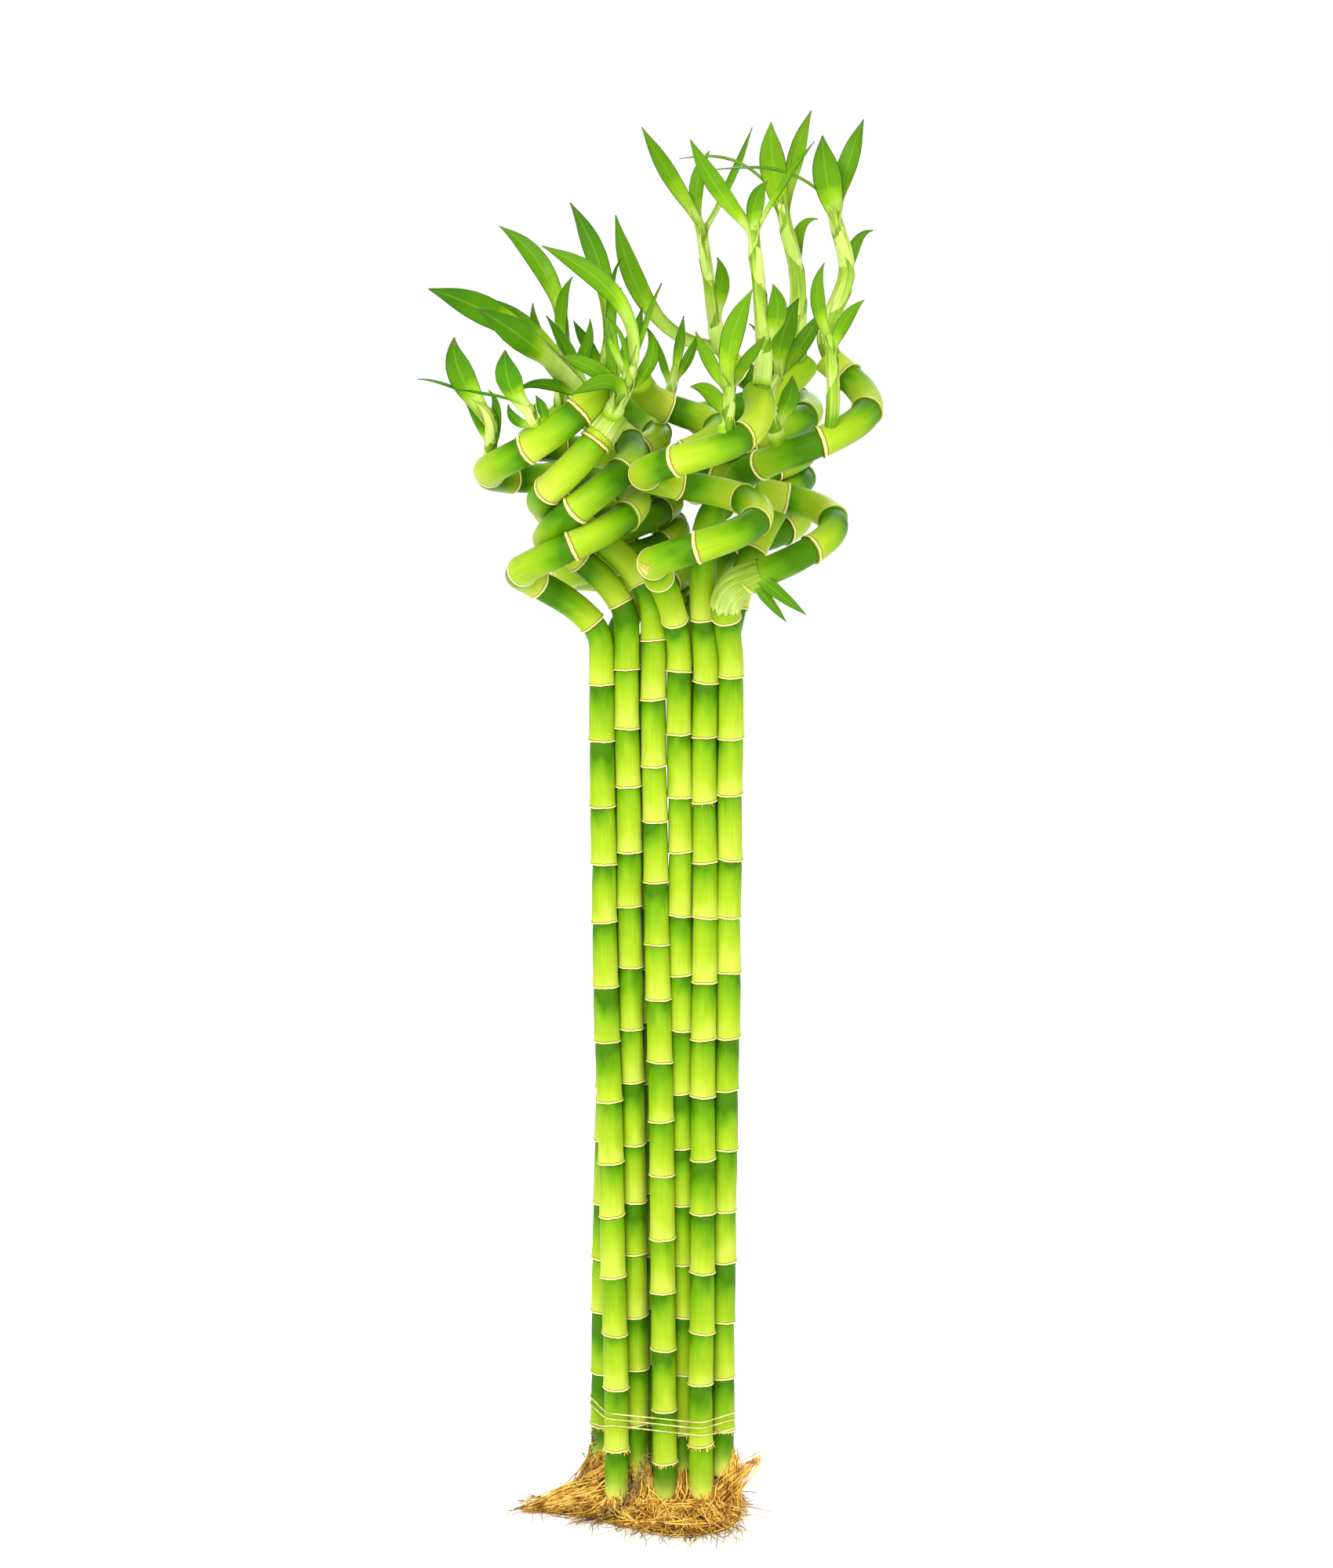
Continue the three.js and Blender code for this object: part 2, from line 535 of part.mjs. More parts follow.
// Assembly
const plant = new THREE.Group();
const finish = (color, roughness) => (
  new THREE.MeshStandardMaterial({ color, roughness, metalness: 0 })
);
const caneMaterial = finish('#9ed31c', 0.34);
const leafMaterial = finish('#4fa80a', 0.42);
const rootMaterial = finish('#c98a1e', 0.85);
const threadMaterial = finish('#d8d07a', 0.8);

/** Adds one named piece to the plant. */
function piece(name, geometry, material) {
  geometry.computeVertexNormals();
  const mesh = new THREE.Mesh(geometry, material);
  mesh.name = name;
  plant.add(mesh);
}

const numbered = (kind, i) => `${kind}_${String(i + 1).padStart(2, '0')}`;
CANES.forEach((cane, i) => piece(numbered('cane', i), caneGeometry(i), caneMaterial));
SHOOTS.forEach((shoot, i) => piece(numbered('shoot', i), shootGeometry(shoot), leafMaterial));
piece('tie_thread', tieGeometry(), threadMaterial);
piece('root_mat', matGeometry(), rootMaterial);

export default plant;
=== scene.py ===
"""Lucky bamboo: a tied bunch of ten canes with coiled tops, leafy shoots and a root mat.

The canes, shoots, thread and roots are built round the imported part, in metres, with
+Z up, +X to the right and +Y to the back. Plan sizes are given in millimetres.
"""

from __future__ import annotations

import logging
import math
import random
from dataclasses import dataclass, field
from enum import Enum

import bmesh
import bpy
import numpy as np
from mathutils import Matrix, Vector

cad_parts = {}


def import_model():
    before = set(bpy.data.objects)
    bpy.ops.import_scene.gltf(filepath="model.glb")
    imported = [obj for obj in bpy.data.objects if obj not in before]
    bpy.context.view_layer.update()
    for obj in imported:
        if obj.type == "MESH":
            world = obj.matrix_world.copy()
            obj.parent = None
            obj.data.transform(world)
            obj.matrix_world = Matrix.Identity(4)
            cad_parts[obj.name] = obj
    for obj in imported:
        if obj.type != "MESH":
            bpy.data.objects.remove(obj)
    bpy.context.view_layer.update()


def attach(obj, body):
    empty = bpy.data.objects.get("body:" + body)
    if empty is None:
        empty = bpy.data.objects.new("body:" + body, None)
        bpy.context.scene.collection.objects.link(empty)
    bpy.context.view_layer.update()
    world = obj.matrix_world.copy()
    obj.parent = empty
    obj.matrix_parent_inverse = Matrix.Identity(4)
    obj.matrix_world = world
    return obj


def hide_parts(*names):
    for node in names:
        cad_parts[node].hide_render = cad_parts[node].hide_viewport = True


LOG = logging.getLogger("lucky_bamboo")
MM = 0.001
BODY = "root"


# Plan
class Coil(Enum):
    """The six coils that the canes wind into."""

    LEFT = "left"
    MIDDLE = "middle"
    CENTRE = "centre"
    RIGHT = "right"
    BACK_LEFT = "back left"
    BACK_RIGHT = "back right"


@dataclass(frozen=True)
class CoilPlan:
    """Axis and size of a coil, in mm at the datum height.

    The waist narrows the coil by pinch at one height; side is 1 where it shows on the
    left and -1 on the right.
    """

    x: float
    y: float
    radius: float
    flare: float
    lean_x: float
    lean_y: float
    tilt: float
    z: float
    pitch: float = 62.0
    waist_z: float = 660.0
    pinch: float = 0.0
    side: int = 1


@dataclass(frozen=True)
class CanePlan:
    """Course of one cane, in mm and degrees.

    The shift sets its first turn aside from the coil and fades away along it.
    """

    coil: Coil
    lift: float
    enter: float
    leave: float
    top: tuple[float, float, float]
    foot: tuple[float, float, float]
    shift: tuple[float, float, float] = (0.0, 0.0, 0.0)


@dataclass(frozen=True)
class LeafPlan:
    """A leaf: place on the stem, middle and tip in mm, width in mm, turn in degrees.

    The sheath is the share of its length that stays rolled and pale.
    """

    at: float
    mid: tuple[float, float, float]
    tip: tuple[float, float, float]
    width: float
    turn: float
    sheath: float = 0.2


@dataclass(frozen=True)
class ShootPlan:
    """A shoot: its cane, distance of its foot from the cane's tip, stem and leaves."""

    cane: int
    back: float
    stem: tuple[tuple[float, float, float], ...]
    base: float
    tip: float
    leaves: tuple[LeafPlan, ...]


COIL_DATUM = 626.0
WAIST_HEIGHT = 18.0
SHIFT_FADE = 110.0
TIP_RISE = 16.0
TIP_RUN = 55.0
FIRST_NODE = 33.0
FIRST_NODE_SPREAD = 6.0
NODE_STEP = 39.0
COIL_NODE_STEP = 42.0
NODE_SPREAD = 3.5
STRAIGHT_POINTS = 60
BEND_POINTS = 24
BEND_REACH = 1.1
COIL_STEP = 4.0
RING_GROUPS = 5
LEAST_RING_GAP = 0.15
LEVEL_GAP = 1e-4
STRAND_SIDES = 4
# edge angles in degrees below which a piece's shading is smooth
SOFT_CANE = 65.0
SOFT_LEAF = 60.0
SOFT_FIBRE = 80.0

COILS = {
    Coil.LEFT: CoilPlan(-54, -37, 38, 0.10, -0.19, -0.02, 0.22, 626, 61.8, 656, 8, 1),
    Coil.MIDDLE: CoilPlan(24, -75, 32, 0.04, -0.04, -0.12, 0.06, 637, 55),
    Coil.CENTRE: CoilPlan(12, 11, 23, 0.02, -0.05, 0, 0.12, 639, 44),
    Coil.RIGHT: CoilPlan(66, -10, 33, 0.03, 0.24, -0.10, 0.10, 609, 74, 686, 5, -1),
    Coil.BACK_LEFT: CoilPlan(-31, 72, 38.6, 0.05, -0.25, 0.12, 0.10, 612, 41.8),
    Coil.BACK_RIGHT: CoilPlan(50, 90, 34.1, 0.02, 0.08, 0.06, 0.05, 622, 44.5),
}

CANES = (
    CanePlan(Coil.LEFT, 0, 176, 672, (-41.4, -7.3, 576), (-33, -14, 10)),
    CanePlan(Coil.LEFT, 24.8, 162, 430, (-25.0, -7.3, 590), (-20, -1, 20),
             (12, -3, -2)),
    CanePlan(Coil.LEFT, 46.9, 180, 310, (-8.4, -7.3, 597), (-0.8, -14, 8),
             (24, 2, -4)),
    CanePlan(Coil.MIDDLE, 0, 175, 740, (8.2, -7.3, 567), (11, -1, 20)),
    CanePlan(Coil.CENTRE, 0, 334, 900, (24.6, -7.3, 559), (22.5, -14, 9)),
    CanePlan(Coil.RIGHT, 0, 241, 800, (40.9, -7.3, 563), (36.5, -1, 22)),
    CanePlan(Coil.BACK_LEFT, 18.8, -47, 790, (-33.6, 7.4, 569), (-42, 11, 24)),
    CanePlan(Coil.BACK_LEFT, 0, 8, 980, (-15.9, 7.4, 559), (-11, 14, 15)),
    CanePlan(Coil.BACK_RIGHT, 0, 280, 1050, (14.2, 10.8, 539), (16.5, 14.5, 20)),
    CanePlan(Coil.BACK_RIGHT, 25.4, 335, 840, (36.3, 7.4, 551), (33, 15.5, 24)),
)

SHOOTS = (
    ShootPlan(1, 118, ((-106, -70, 722), (-113, -72, 734)), 4.2, 2.6, (
        LeafPlan(0.75, (-124, -74, 752), (-127, -78, 774), 17, 10, 0.3),
        LeafPlan(0.35, (-103, -70, 730), (-107, -74, 742), 8, -30),
        LeafPlan(0.45, (-115, -68, 726), (-122, -70, 736), 7, 30),
        LeafPlan(0.95, (-130, -72, 744), (-149, -80, 749), 3, 60))),
    ShootPlan(1, 44, ((-79, -84, 722), (-82, -86, 734)), 4.2, 2.6, (
        LeafPlan(0.75, (-93, -88, 744), (-96, -92, 767), 17, -15, 0.3),
        LeafPlan(0.35, (-74, -86, 728), (-78, -90, 740), 8, -30),
        LeafPlan(0.45, (-90, -82, 724), (-95, -82, 734), 7, 30),
        LeafPlan(0.95, (-103, -92, 740), (-126, -98, 744), 3, 60))),
    ShootPlan(2, 10, ((-52, -12, 738), (-60, -14, 744)), 5.0, 4.0, (
        LeafPlan(0.80, (-96, -24, 778), (-145, -38, 801), 19, 12, 0.45),
        LeafPlan(0.70, (-80, 4, 766), (-116, 6, 795), 18, -20, 0.4),
        LeafPlan(0.55, (-80, -46, 766), (-114, -60, 790), 18, 6, 0.45),
        LeafPlan(0.40, (-72, -30, 742), (-92, -46, 740), 9, 40),
        LeafPlan(0.60, (-62, -20, 764), (-74, -22, 784), 10, -30))),
    ShootPlan(8, 12, ((-66, 34, 742), (-64, 38, 762)), 4.4, 3.2, (
        LeafPlan(0.90, (-76, 44, 806), (-106, 52, 837), 14, 15, 0.35),
        LeafPlan(0.80, (-66, 34, 786), (-59, 26, 806), 9, -20),
        LeafPlan(0.45, (-80, 30, 762), (-84, 24, 790), 10, 30),
        LeafPlan(0.35, (-52, 30, 756), (-48, 24, 780), 10, -25))),
    ShootPlan(7, 14, ((-40, 104, 745), (-36, 104, 766)), 4.4, 3.2, (
        LeafPlan(0.90, (-42, 108, 806), (-63, 116, 851), 15, -10, 0.3),
        LeafPlan(0.80, (-36, 98, 796), (-29, 92, 816), 5, 30),
        LeafPlan(0.45, (-50, 98, 756), (-60, 84, 776), 10, 35),
        LeafPlan(0.40, (-22, 102, 762), (-16, 98, 784), 11, -30))),
    ShootPlan(3, 10, ((-26, -84, 742), (-20, -89, 758)), 4.8, 3.4, (
        LeafPlan(0.90, (-29, -88, 796), (-74, -84, 828), 13, 14, 0.35),
        LeafPlan(0.85, (-33, -80, 778), (-27, -72, 803), 8, -25),
        LeafPlan(0.25, (-32, -98, 747), (-56, -108, 742), 15, 48),
        LeafPlan(0.60, (-44, -92, 756), (-64, -96, 764), 11, 20),
        LeafPlan(0.50, (-9, -84, 760), (-12, -78, 780), 11, -35),
        LeafPlan(0.85, (-12, -86, 784), (-3, -82, 806), 4, 20),
        LeafPlan(0.35, (-33, -82, 762), (-35, -78, 783), 7, -10),
        LeafPlan(0.45, (-24, -94, 766), (-36, -98, 788), 4, 30))),
    ShootPlan(10, 10, ((34, 122, 762), (27, 118, 806), (22, 116, 838)), 4.8, 2.8, (
        LeafPlan(0.98, (2, 114, 868), (-16, 108, 899), 12, 10),
        LeafPlan(0.96, (20, 118, 862), (28, 122, 884), 11, -25),
        LeafPlan(0.94, (40, 122, 862), (56, 130, 899), 6, 30),
        LeafPlan(0.20, (-8, 112, 778), (-33, 104, 843), 15, 18, 0.4),
        LeafPlan(0.40, (36, 112, 800), (33, 106, 816), 11, -20))),
    ShootPlan(4, 12, ((58, -80, 764), (55, -82, 806), (51, -82, 838)), 5.2, 2.9, (
        LeafPlan(0.98, (30, -84, 862), (14, -90, 890), 12, -12),
        LeafPlan(0.96, (52, -80, 852), (60, -76, 866), 12, 25),
        LeafPlan(0.94, (68, -84, 862), (87, -92, 889), 5, -40),
        LeafPlan(0.35, (66, -86, 786), (63, -92, 806), 13, 15))),
    ShootPlan(9, 10, ((84, 66, 776), (83, 62, 808), (72, 60, 852)), 6.2, 3.4, (
        LeafPlan(0.96, (67, 56, 878), (66, 54, 902), 18, -6, 0.12),
        LeafPlan(0.94, (80, 66, 876), (92, 72, 909), 13, 30),
        LeafPlan(0.42, (84, 68, 830), (97, 76, 841), 10, -25),
        LeafPlan(0.90, (50, 58, 874), (8, 48, 879), 5, 70))),
    ShootPlan(6, 10, ((100, 10, 772), (112, 8, 810), (103, 6, 848)), 6.4, 3.6, (
        LeafPlan(0.96, (98, 2, 872), (96, 0, 893), 19, 8, 0.12),
        LeafPlan(0.94, (111, 10, 870), (122, 16, 903), 14, -25),
        LeafPlan(0.42, (116, 14, 824), (129, 22, 835), 10, 25),
        LeafPlan(0.90, (80, 4, 868), (27, -4, 872), 5, 70))),
    ShootPlan(6, 98, ((101, -62, 740), (98, -66, 776)), 4.4, 3.0, (
        LeafPlan(0.90, (90, -74, 796), (94, -82, 818), 10, 20),
        LeafPlan(0.80, (108, -72, 784), (118, -80, 796), 9, -20))),
    ShootPlan(4, 62, ((36, -116, 730), (37, -118, 748)), 4.8, 3.0, (
        LeafPlan(0.85, (25, -122, 762), (17, -128, 780), 9, 20),
        LeafPlan(0.95, (38, -122, 774), (50, -128, 804), 14, -12),
        LeafPlan(0.90, (48, -114, 762), (58, -108, 776), 9, -35),
        LeafPlan(0.40, (26, -122, 742), (14, -130, 748), 13, 40))),
    ShootPlan(6, 130, ((62, -50, 734), (68, -49, 750)), 5.0, 3.2, (
        LeafPlan(0.90, (64, -50, 764), (50, -58, 781), 6, 30),
        LeafPlan(0.95, (70, -50, 772), (80, -54, 796), 15, 8),
        LeafPlan(0.85, (80, -44, 764), (97, -42, 790), 12, -25),
        LeafPlan(0.35, (74, -55, 734), (76, -63, 750), 12, -10))),
    ShootPlan(7, 46, ((0, 70, 722), (6, 68, 748)), 4.2, 2.6, (
        LeafPlan(0.85, (8, 67, 760), (11, 66, 780), 7, 10),
        LeafPlan(0.70, (-2, 68, 748), (-6, 66, 764), 6, -25),
        LeafPlan(0.75, (14, 70, 752), (20, 72, 768), 8, 30),
        LeafPlan(0.35, (-6, 66, 728), (-12, 64, 744), 7, -30))),
)


# Geometry
def smooth(t: float, low: float = 0.0, high: float = 1.0) -> float:
    """Smooth step from 0 at low to 1 at high."""
    u = min(max((t - low) / (high - low), 0.0), 1.0)
    return u * u * (3.0 - 2.0 * u)


def draws(rng: random.Random, count: int, low: float, high: float) -> np.ndarray:
    """Random numbers between low and high."""
    return np.array([rng.uniform(low, high) for _ in range(count)])


def unit(vectors: np.ndarray) -> np.ndarray:
    """Vectors brought to length 1."""
    return vectors / np.linalg.norm(vectors, axis=-1, keepdims=True)


def relaxed(points: np.ndarray, rounds: int) -> np.ndarray:
    """A line whose inner points have been drawn towards their neighbours, a number of rounds.

    Args:
        points: The line's points, which are changed.
        rounds: How often they are drawn in.

    Returns:
        The same points.
    """
    for _ in range(rounds):
        points[1:-1] = (points[:-2] + 2 * points[1:-1] + points[2:]) / 4
    return points


def at_length(points: np.ndarray, table: np.ndarray, place: np.ndarray) -> np.ndarray:
    """Points at given lengths along a line.

    Args:
        points: The line's points.
        table: Their lengths along the line.
        place: The wanted lengths.

    Returns:
        One point for each wanted length.
    """
    return np.stack([np.interp(place, table, points[:, i]) for i in range(3)], axis=1)


class Line:
    """A line of points in mm, with the length along it up to each point."""

    def __init__(self, points: np.ndarray) -> None:
        """Measures the line.

        Args:
            points: Its points, in mm.
        """
        self.points = points
        steps = np.linalg.norm(np.diff(points, axis=0), axis=1)
        self.table = np.concatenate(([0.0], np.cumsum(steps)))
        self.total = float(self.table[-1])

    def at(self, place: np.ndarray) -> np.ndarray:
        """Points at given lengths along the line."""
        return at_length(self.points, self.table, place)


def carried_frames(points: np.ndarray, start: tuple[float, float, float]) -> tuple[np.ndarray, np.ndarray]:
    """Frames carried along a line without twist.

    Args:
        points: The line's points.
        start: A direction near the first side vector.

    Returns:
        The side and up vectors at each point.
    """
    along = unit(np.gradient(points, axis=0))
    side = np.zeros_like(points)
    current = np.array(start, dtype=float)
    for k, heading in enumerate(along):
        current = unit(current - heading * float(current @ heading))
        side[k] = current
    return side, np.cross(along, side)


def turned(side: np.ndarray, up: np.ndarray, angle: np.ndarray) -> np.ndarray:
    """Directions at an angle from the side vector towards the up vector."""
    return side * np.cos(angle)[:, None] + up * np.sin(angle)[:, None]


def rounded_line(corners: list[tuple[float, float, float]], count: int) -> np.ndarray:
    """A smooth line through a few points.

    Args:
        corners: Points that the line passes.
        count: How many points to return.

    Returns:
        Points evenly spaced in the line's own parameter.
    """
    knots = np.asarray(corners, dtype=float)
    knots = np.vstack((2 * knots[0] - knots[1], knots, 2 * knots[-1] - knots[-2]))
    spans = len(knots) - 3
    out = []
    for t in np.linspace(0, spans, count):
        k = min(int(t), spans - 1)
        u = t - k
        a, b, c, d = knots[k:k + 4]
        out.append(0.5 * ((2 * b) + (c - a) * u + (2 * a - 5 * b + 4 * c - d) * u ** 2
                          + (3 * b - a - 3 * c + d) * u ** 3))
    return np.array(out)


# Hand modelling
def pick(*objs: bpy.types.Object) -> None:
    """Selects only these objects, and makes the first of them active.

    Args:
        *objs: The objects.
    """
    bpy.ops.object.select_all(action="DESELECT")
    for obj in objs:
        obj.select_set(True)
    if objs:
        bpy.context.view_layer.objects.active = objs[0]


def named_active(name: str) -> bpy.types.Object:
    """The active object, with a new name.

    Args:
        name: The new name.

    Returns:
        The object.
    """
    obj = bpy.context.active_object
    obj.name = obj.data.name = name
    return obj


def vertex_places(obj: bpy.types.Object) -> np.ndarray:
    """Vertex places of a mesh object, as rows.

    Args:
        obj: The mesh object.

    Returns:
        One place for each vertex.
    """
    places = np.empty(len(obj.data.vertices) * 3)
    obj.data.vertices.foreach_get("co", places)
    return places.reshape(-1, 3)


def set_places(obj: bpy.types.Object, places: np.ndarray) -> None:
    """Moves a mesh object's vertices to new places in mm."""
    obj.data.vertices.foreach_set("co", (places * MM).ravel())
    obj.data.update()


def write_values(obj: bpy.types.Object, **values: np.ndarray | float) -> None:
    """Writes the values that the finishes read.

    Args:
        obj: The mesh object.
        **values: Under each attribute's name, a number or a row of three for each vertex, or one number.
    """
    count = len(obj.data.vertices)
    for name, value in values.items():
        vector = np.ndim(value) == 2
        rows = np.asarray(value, dtype=float) if np.ndim(value) else np.full(count, float(value))
        layer = obj.data.attributes.new(name, "FLOAT_VECTOR" if vector else "FLOAT", "POINT")
        layer.data.foreach_set("vector" if vector else "value", rows.ravel())


def skin_map(angle: np.ndarray, radius: float, place: np.ndarray) -> np.ndarray:
    """Where a pattern falls on a stem laid straight: radius and place in metres, angle in radians."""
    return np.column_stack((np.cos(angle) * radius, np.sin(angle) * radius, place))


def cut_upright_edges(mesh: bpy.types.Mesh, cuts: int) -> None:
    """Cuts every upright edge of the mesh in edit mode into equal parts.

    Args:
        mesh: The mesh.
        cuts: How many cuts each edge gets.
    """
    editable = bmesh.from_edit_mesh(mesh)
    for edge in editable.edges:
        low, high = (v.co.z for v in edge.verts)
        edge.select_set(abs(low - high) > LEVEL_GAP)
    bmesh.update_edit_mesh(mesh)
    bpy.ops.mesh.subdivide(number_cuts=cuts)
    bpy.ops.mesh.select_all(action="DESELECT")


def ringed_blank(name: str, rings: int, sides: int) -> tuple[bpy.types.Object, np.ndarray, np.ndarray]:
    """A closed tube of unit size, cut into rings.

    Args:
        name: Name of the new object.
        rings: How many rings of vertices it has, one more than a multiple of RING_GROUPS.
        sides: How many vertices each ring has.

    Returns:
        The object, and for each vertex its ring, and its angle round the tube in radians.
    """
    pick()
    bpy.ops.mesh.primitive_cylinder_add(vertices=sides, radius=1.0, depth=2.0)
    obj = named_active(name)
    bpy.ops.object.mode_set(mode="EDIT")
    bpy.ops.mesh.select_mode(type="EDGE")
    bpy.ops.mesh.select_all(action="DESELECT")
    cut_upright_edges(obj.data, RING_GROUPS - 1)
    cut_upright_edges(obj.data, (rings - 1) // RING_GROUPS - 1)
    bpy.ops.object.mode_set(mode="OBJECT")
    places = vertex_places(obj)
    ring = np.rint((places[:, 2] + 1.0) / 2.0 * (rings - 1)).astype(int)
    side = np.rint(np.arctan2(places[:, 1], places[:, 0]) / (2 * math.pi) * sides).astype(int) % sides
    return obj, ring, side * (2 * math.pi / sides)


def sheet_blank(name: str, rows: int, columns: int) -> tuple[bpy.types.Object, np.ndarray, np.ndarray]:
    """A flat grid that becomes a leaf or a sheath.

    Args:
        name: Name of the new object.
        rows: Faces along it.
        columns: Faces across it.

    Returns:
        The object, and for each vertex its place across and along, from 0 to 1.
    """
    pick()
    bpy.ops.mesh.primitive_grid_add(x_subdivisions=columns, y_subdivisions=rows, size=1.0)
    obj = named_active(name)
    places = vertex_places(obj)
    return obj, places[:, 0] + 0.5, places[:, 1] + 0.5


def thicken(obj: bpy.types.Object, thickness: float) -> None:
    """Gives a sheet its thickness in mm, half of it on either side.

    Args:
        obj: The sheet.
        thickness: Its thickness in mm.
    """
    modifier = obj.modifiers.new("Solidify", "SOLIDIFY")
    modifier.thickness = thickness * MM
    modifier.offset = 0.0
    pick(obj)
    bpy.ops.object.modifier_apply(modifier=modifier.name)


def drawn_strands(name: str, lines: list[np.ndarray], radii: list[np.ndarray],
                  sides: int) -> bpy.types.Object:
    """Thin strands drawn as one round curve and made a mesh.

    Args:
        name: Name of the new object.
        lines: Points of each strand, in mm.
        radii: Radius at each point, in mm.
        sides: How many sides a strand has, an even number.

    Returns:
        The mesh object.
    """
    curve = bpy.data.curves.new(name, "CURVE")
    curve.dimensions = "3D"
    curve.bevel_depth = MM
    curve.bevel_resolution = max(sides // 2 - 2, 0)
    curve.use_fill_caps = True
    curve.resolution_u = 1
    for points, radius in zip(lines, radii):
        spline = curve.splines.new("POLY")
        spline.points.add(len(points) - 1)
        spline.points.foreach_set("co", np.column_stack((points * MM, np.ones(len(points)))).ravel())
        spline.points.foreach_set("radius", np.asarray(radius, dtype=float))
    obj = bpy.data.objects.new(name, curve)
    bpy.context.scene.collection.objects.link(obj)
    pick(obj)
    bpy.ops.object.convert(target="MESH")
    return named_active(name)


def finish_piece(obj: bpy.types.Object, node: str, soft: float,
                 material: bpy.types.Material | None = None) -> bpy.types.Object:
    """Smooths a piece's shading and ties it to the part.

    Args:
        obj: The piece.
        node: The CAD node that it stands for.
        soft: The edge angle in degrees below which its shading is smooth.
        material: Its material, where its parts don't have theirs yet.

    Returns:
        The piece.
    """
    if material:
        obj.data.materials.append(material)
    pick(obj)
    bpy.ops.object.shade_smooth_by_angle(angle=math.radians(soft))
    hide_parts(node)
    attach(obj, BODY)
    return obj


def joined_piece(parts: list[bpy.types.Object], name: str, node: str) -> bpy.types.Object:
    """Joins leafy parts into one finished piece.

    Args:
        parts: The parts, each with its material.
        name: The name of the piece.
        node: The CAD node that it stands for.

    Returns:
        The piece.
    """
    pick(*parts)
    bpy.ops.object.join()
    return finish_piece(named_active(name), node, SOFT_LEAF)


# Finishes
def linear(hex_colour: str) -> tuple[float, float, float, float]:
    """An sRGB hex colour as linear red, green, blue and alpha.

    Args:
        hex_colour: The colour, as in #b0be40.

    Returns:
        Its linear values.
    """
    parts = [int(hex_colour.lstrip("#")[i:i + 2], 16) / 255 for i in (0, 2, 4)]
    red, green, blue = (c / 12.92 if c <= 0.04045 else ((c + 0.055) / 1.055) ** 2.4 for c in parts)
    return red, green, blue, 1.0


# what a node is linked by, where it isn't its first output
MAIN_OUTPUT = {"ShaderNodeAttribute": "Fac", "ShaderNodeMix": 2}
MULTIPLY_ADD = {"operation": "MULTIPLY_ADD"}
MULTIPLY = {"operation": "MULTIPLY"}
SUBTRACT = {"operation": "SUBTRACT"}
SCALE = {"operation": "SCALE"}
SOFT_STEP = {"interpolation_type": "SMOOTHSTEP"}
COLOUR = {"data_type": "RGBA"}


def connect(tree: bpy.types.NodeTree, node: bpy.types.Node, links: dict[str | int, object]) -> None:
    """Links or sets a node's inputs.

    Args:
        tree: The node tree.
        node: The node.
        links: For each input, a node or socket to link, or a number, vector or hex colour to set.
    """
    for key, value in links.items():
        if isinstance(value, bpy.types.Node):
            value = value.outputs[MAIN_OUTPUT.get(value.bl_idname, 0)]
        if isinstance(value, bpy.types.NodeSocket):
            tree.links.new(value, node.inputs[key])
        else:
            node.inputs[key].default_value = linear(value) if isinstance(value, str) else value


def add_node(tree: bpy.types.NodeTree, kind: str, settings: dict[str, object] | None = None,
             links: dict[str | int, object] | None = None) -> bpy.types.Node:
    """Adds a node with its settings and links.

    A Map Range node's inputs 1 to 4 are the lowest and highest value read, and what each becomes.

    Args:
        tree: The node tree.
        kind: The node's type name after "ShaderNode".
        settings: Properties of the node, or "ramp" with (place, hex colour) pairs.
        links: Its inputs, as in connect.

    Returns:
        The new node.
    """
    node = tree.nodes.new("ShaderNode" + kind)
    for key, value in (settings or {}).items():
        if key == "ramp":
            elements = node.color_ramp.elements
            for place, colour in value[1:-1]:
                elements.new(place).color = linear(colour)
            elements[0].position, elements[0].color = value[0][0], linear(value[0][1])
            elements[-1].position, elements[-1].color = value[-1][0], linear(value[-1][1])
        else:
            setattr(node, key, value)
    connect(tree, node, links or {})
    return node


def new_material(name: str, *values: str) -> tuple[
        bpy.types.Material, bpy.types.NodeTree, bpy.types.Node, list[bpy.types.Node]]:
    """A node material that reads values from the mesh.

    Args:
        name: The material's name.
        *values: The names of the attributes that it reads.

    Returns:
        The material, its tree, its shader node, and a node for each value.
    """
    material = bpy.data.materials.new(name)
    material.use_nodes = True
    tree = material.node_tree
    readers = [add_node(tree, "Attribute", {"attribute_name": value}) for value in values]
    return material, tree, tree.nodes["Principled BSDF"], readers


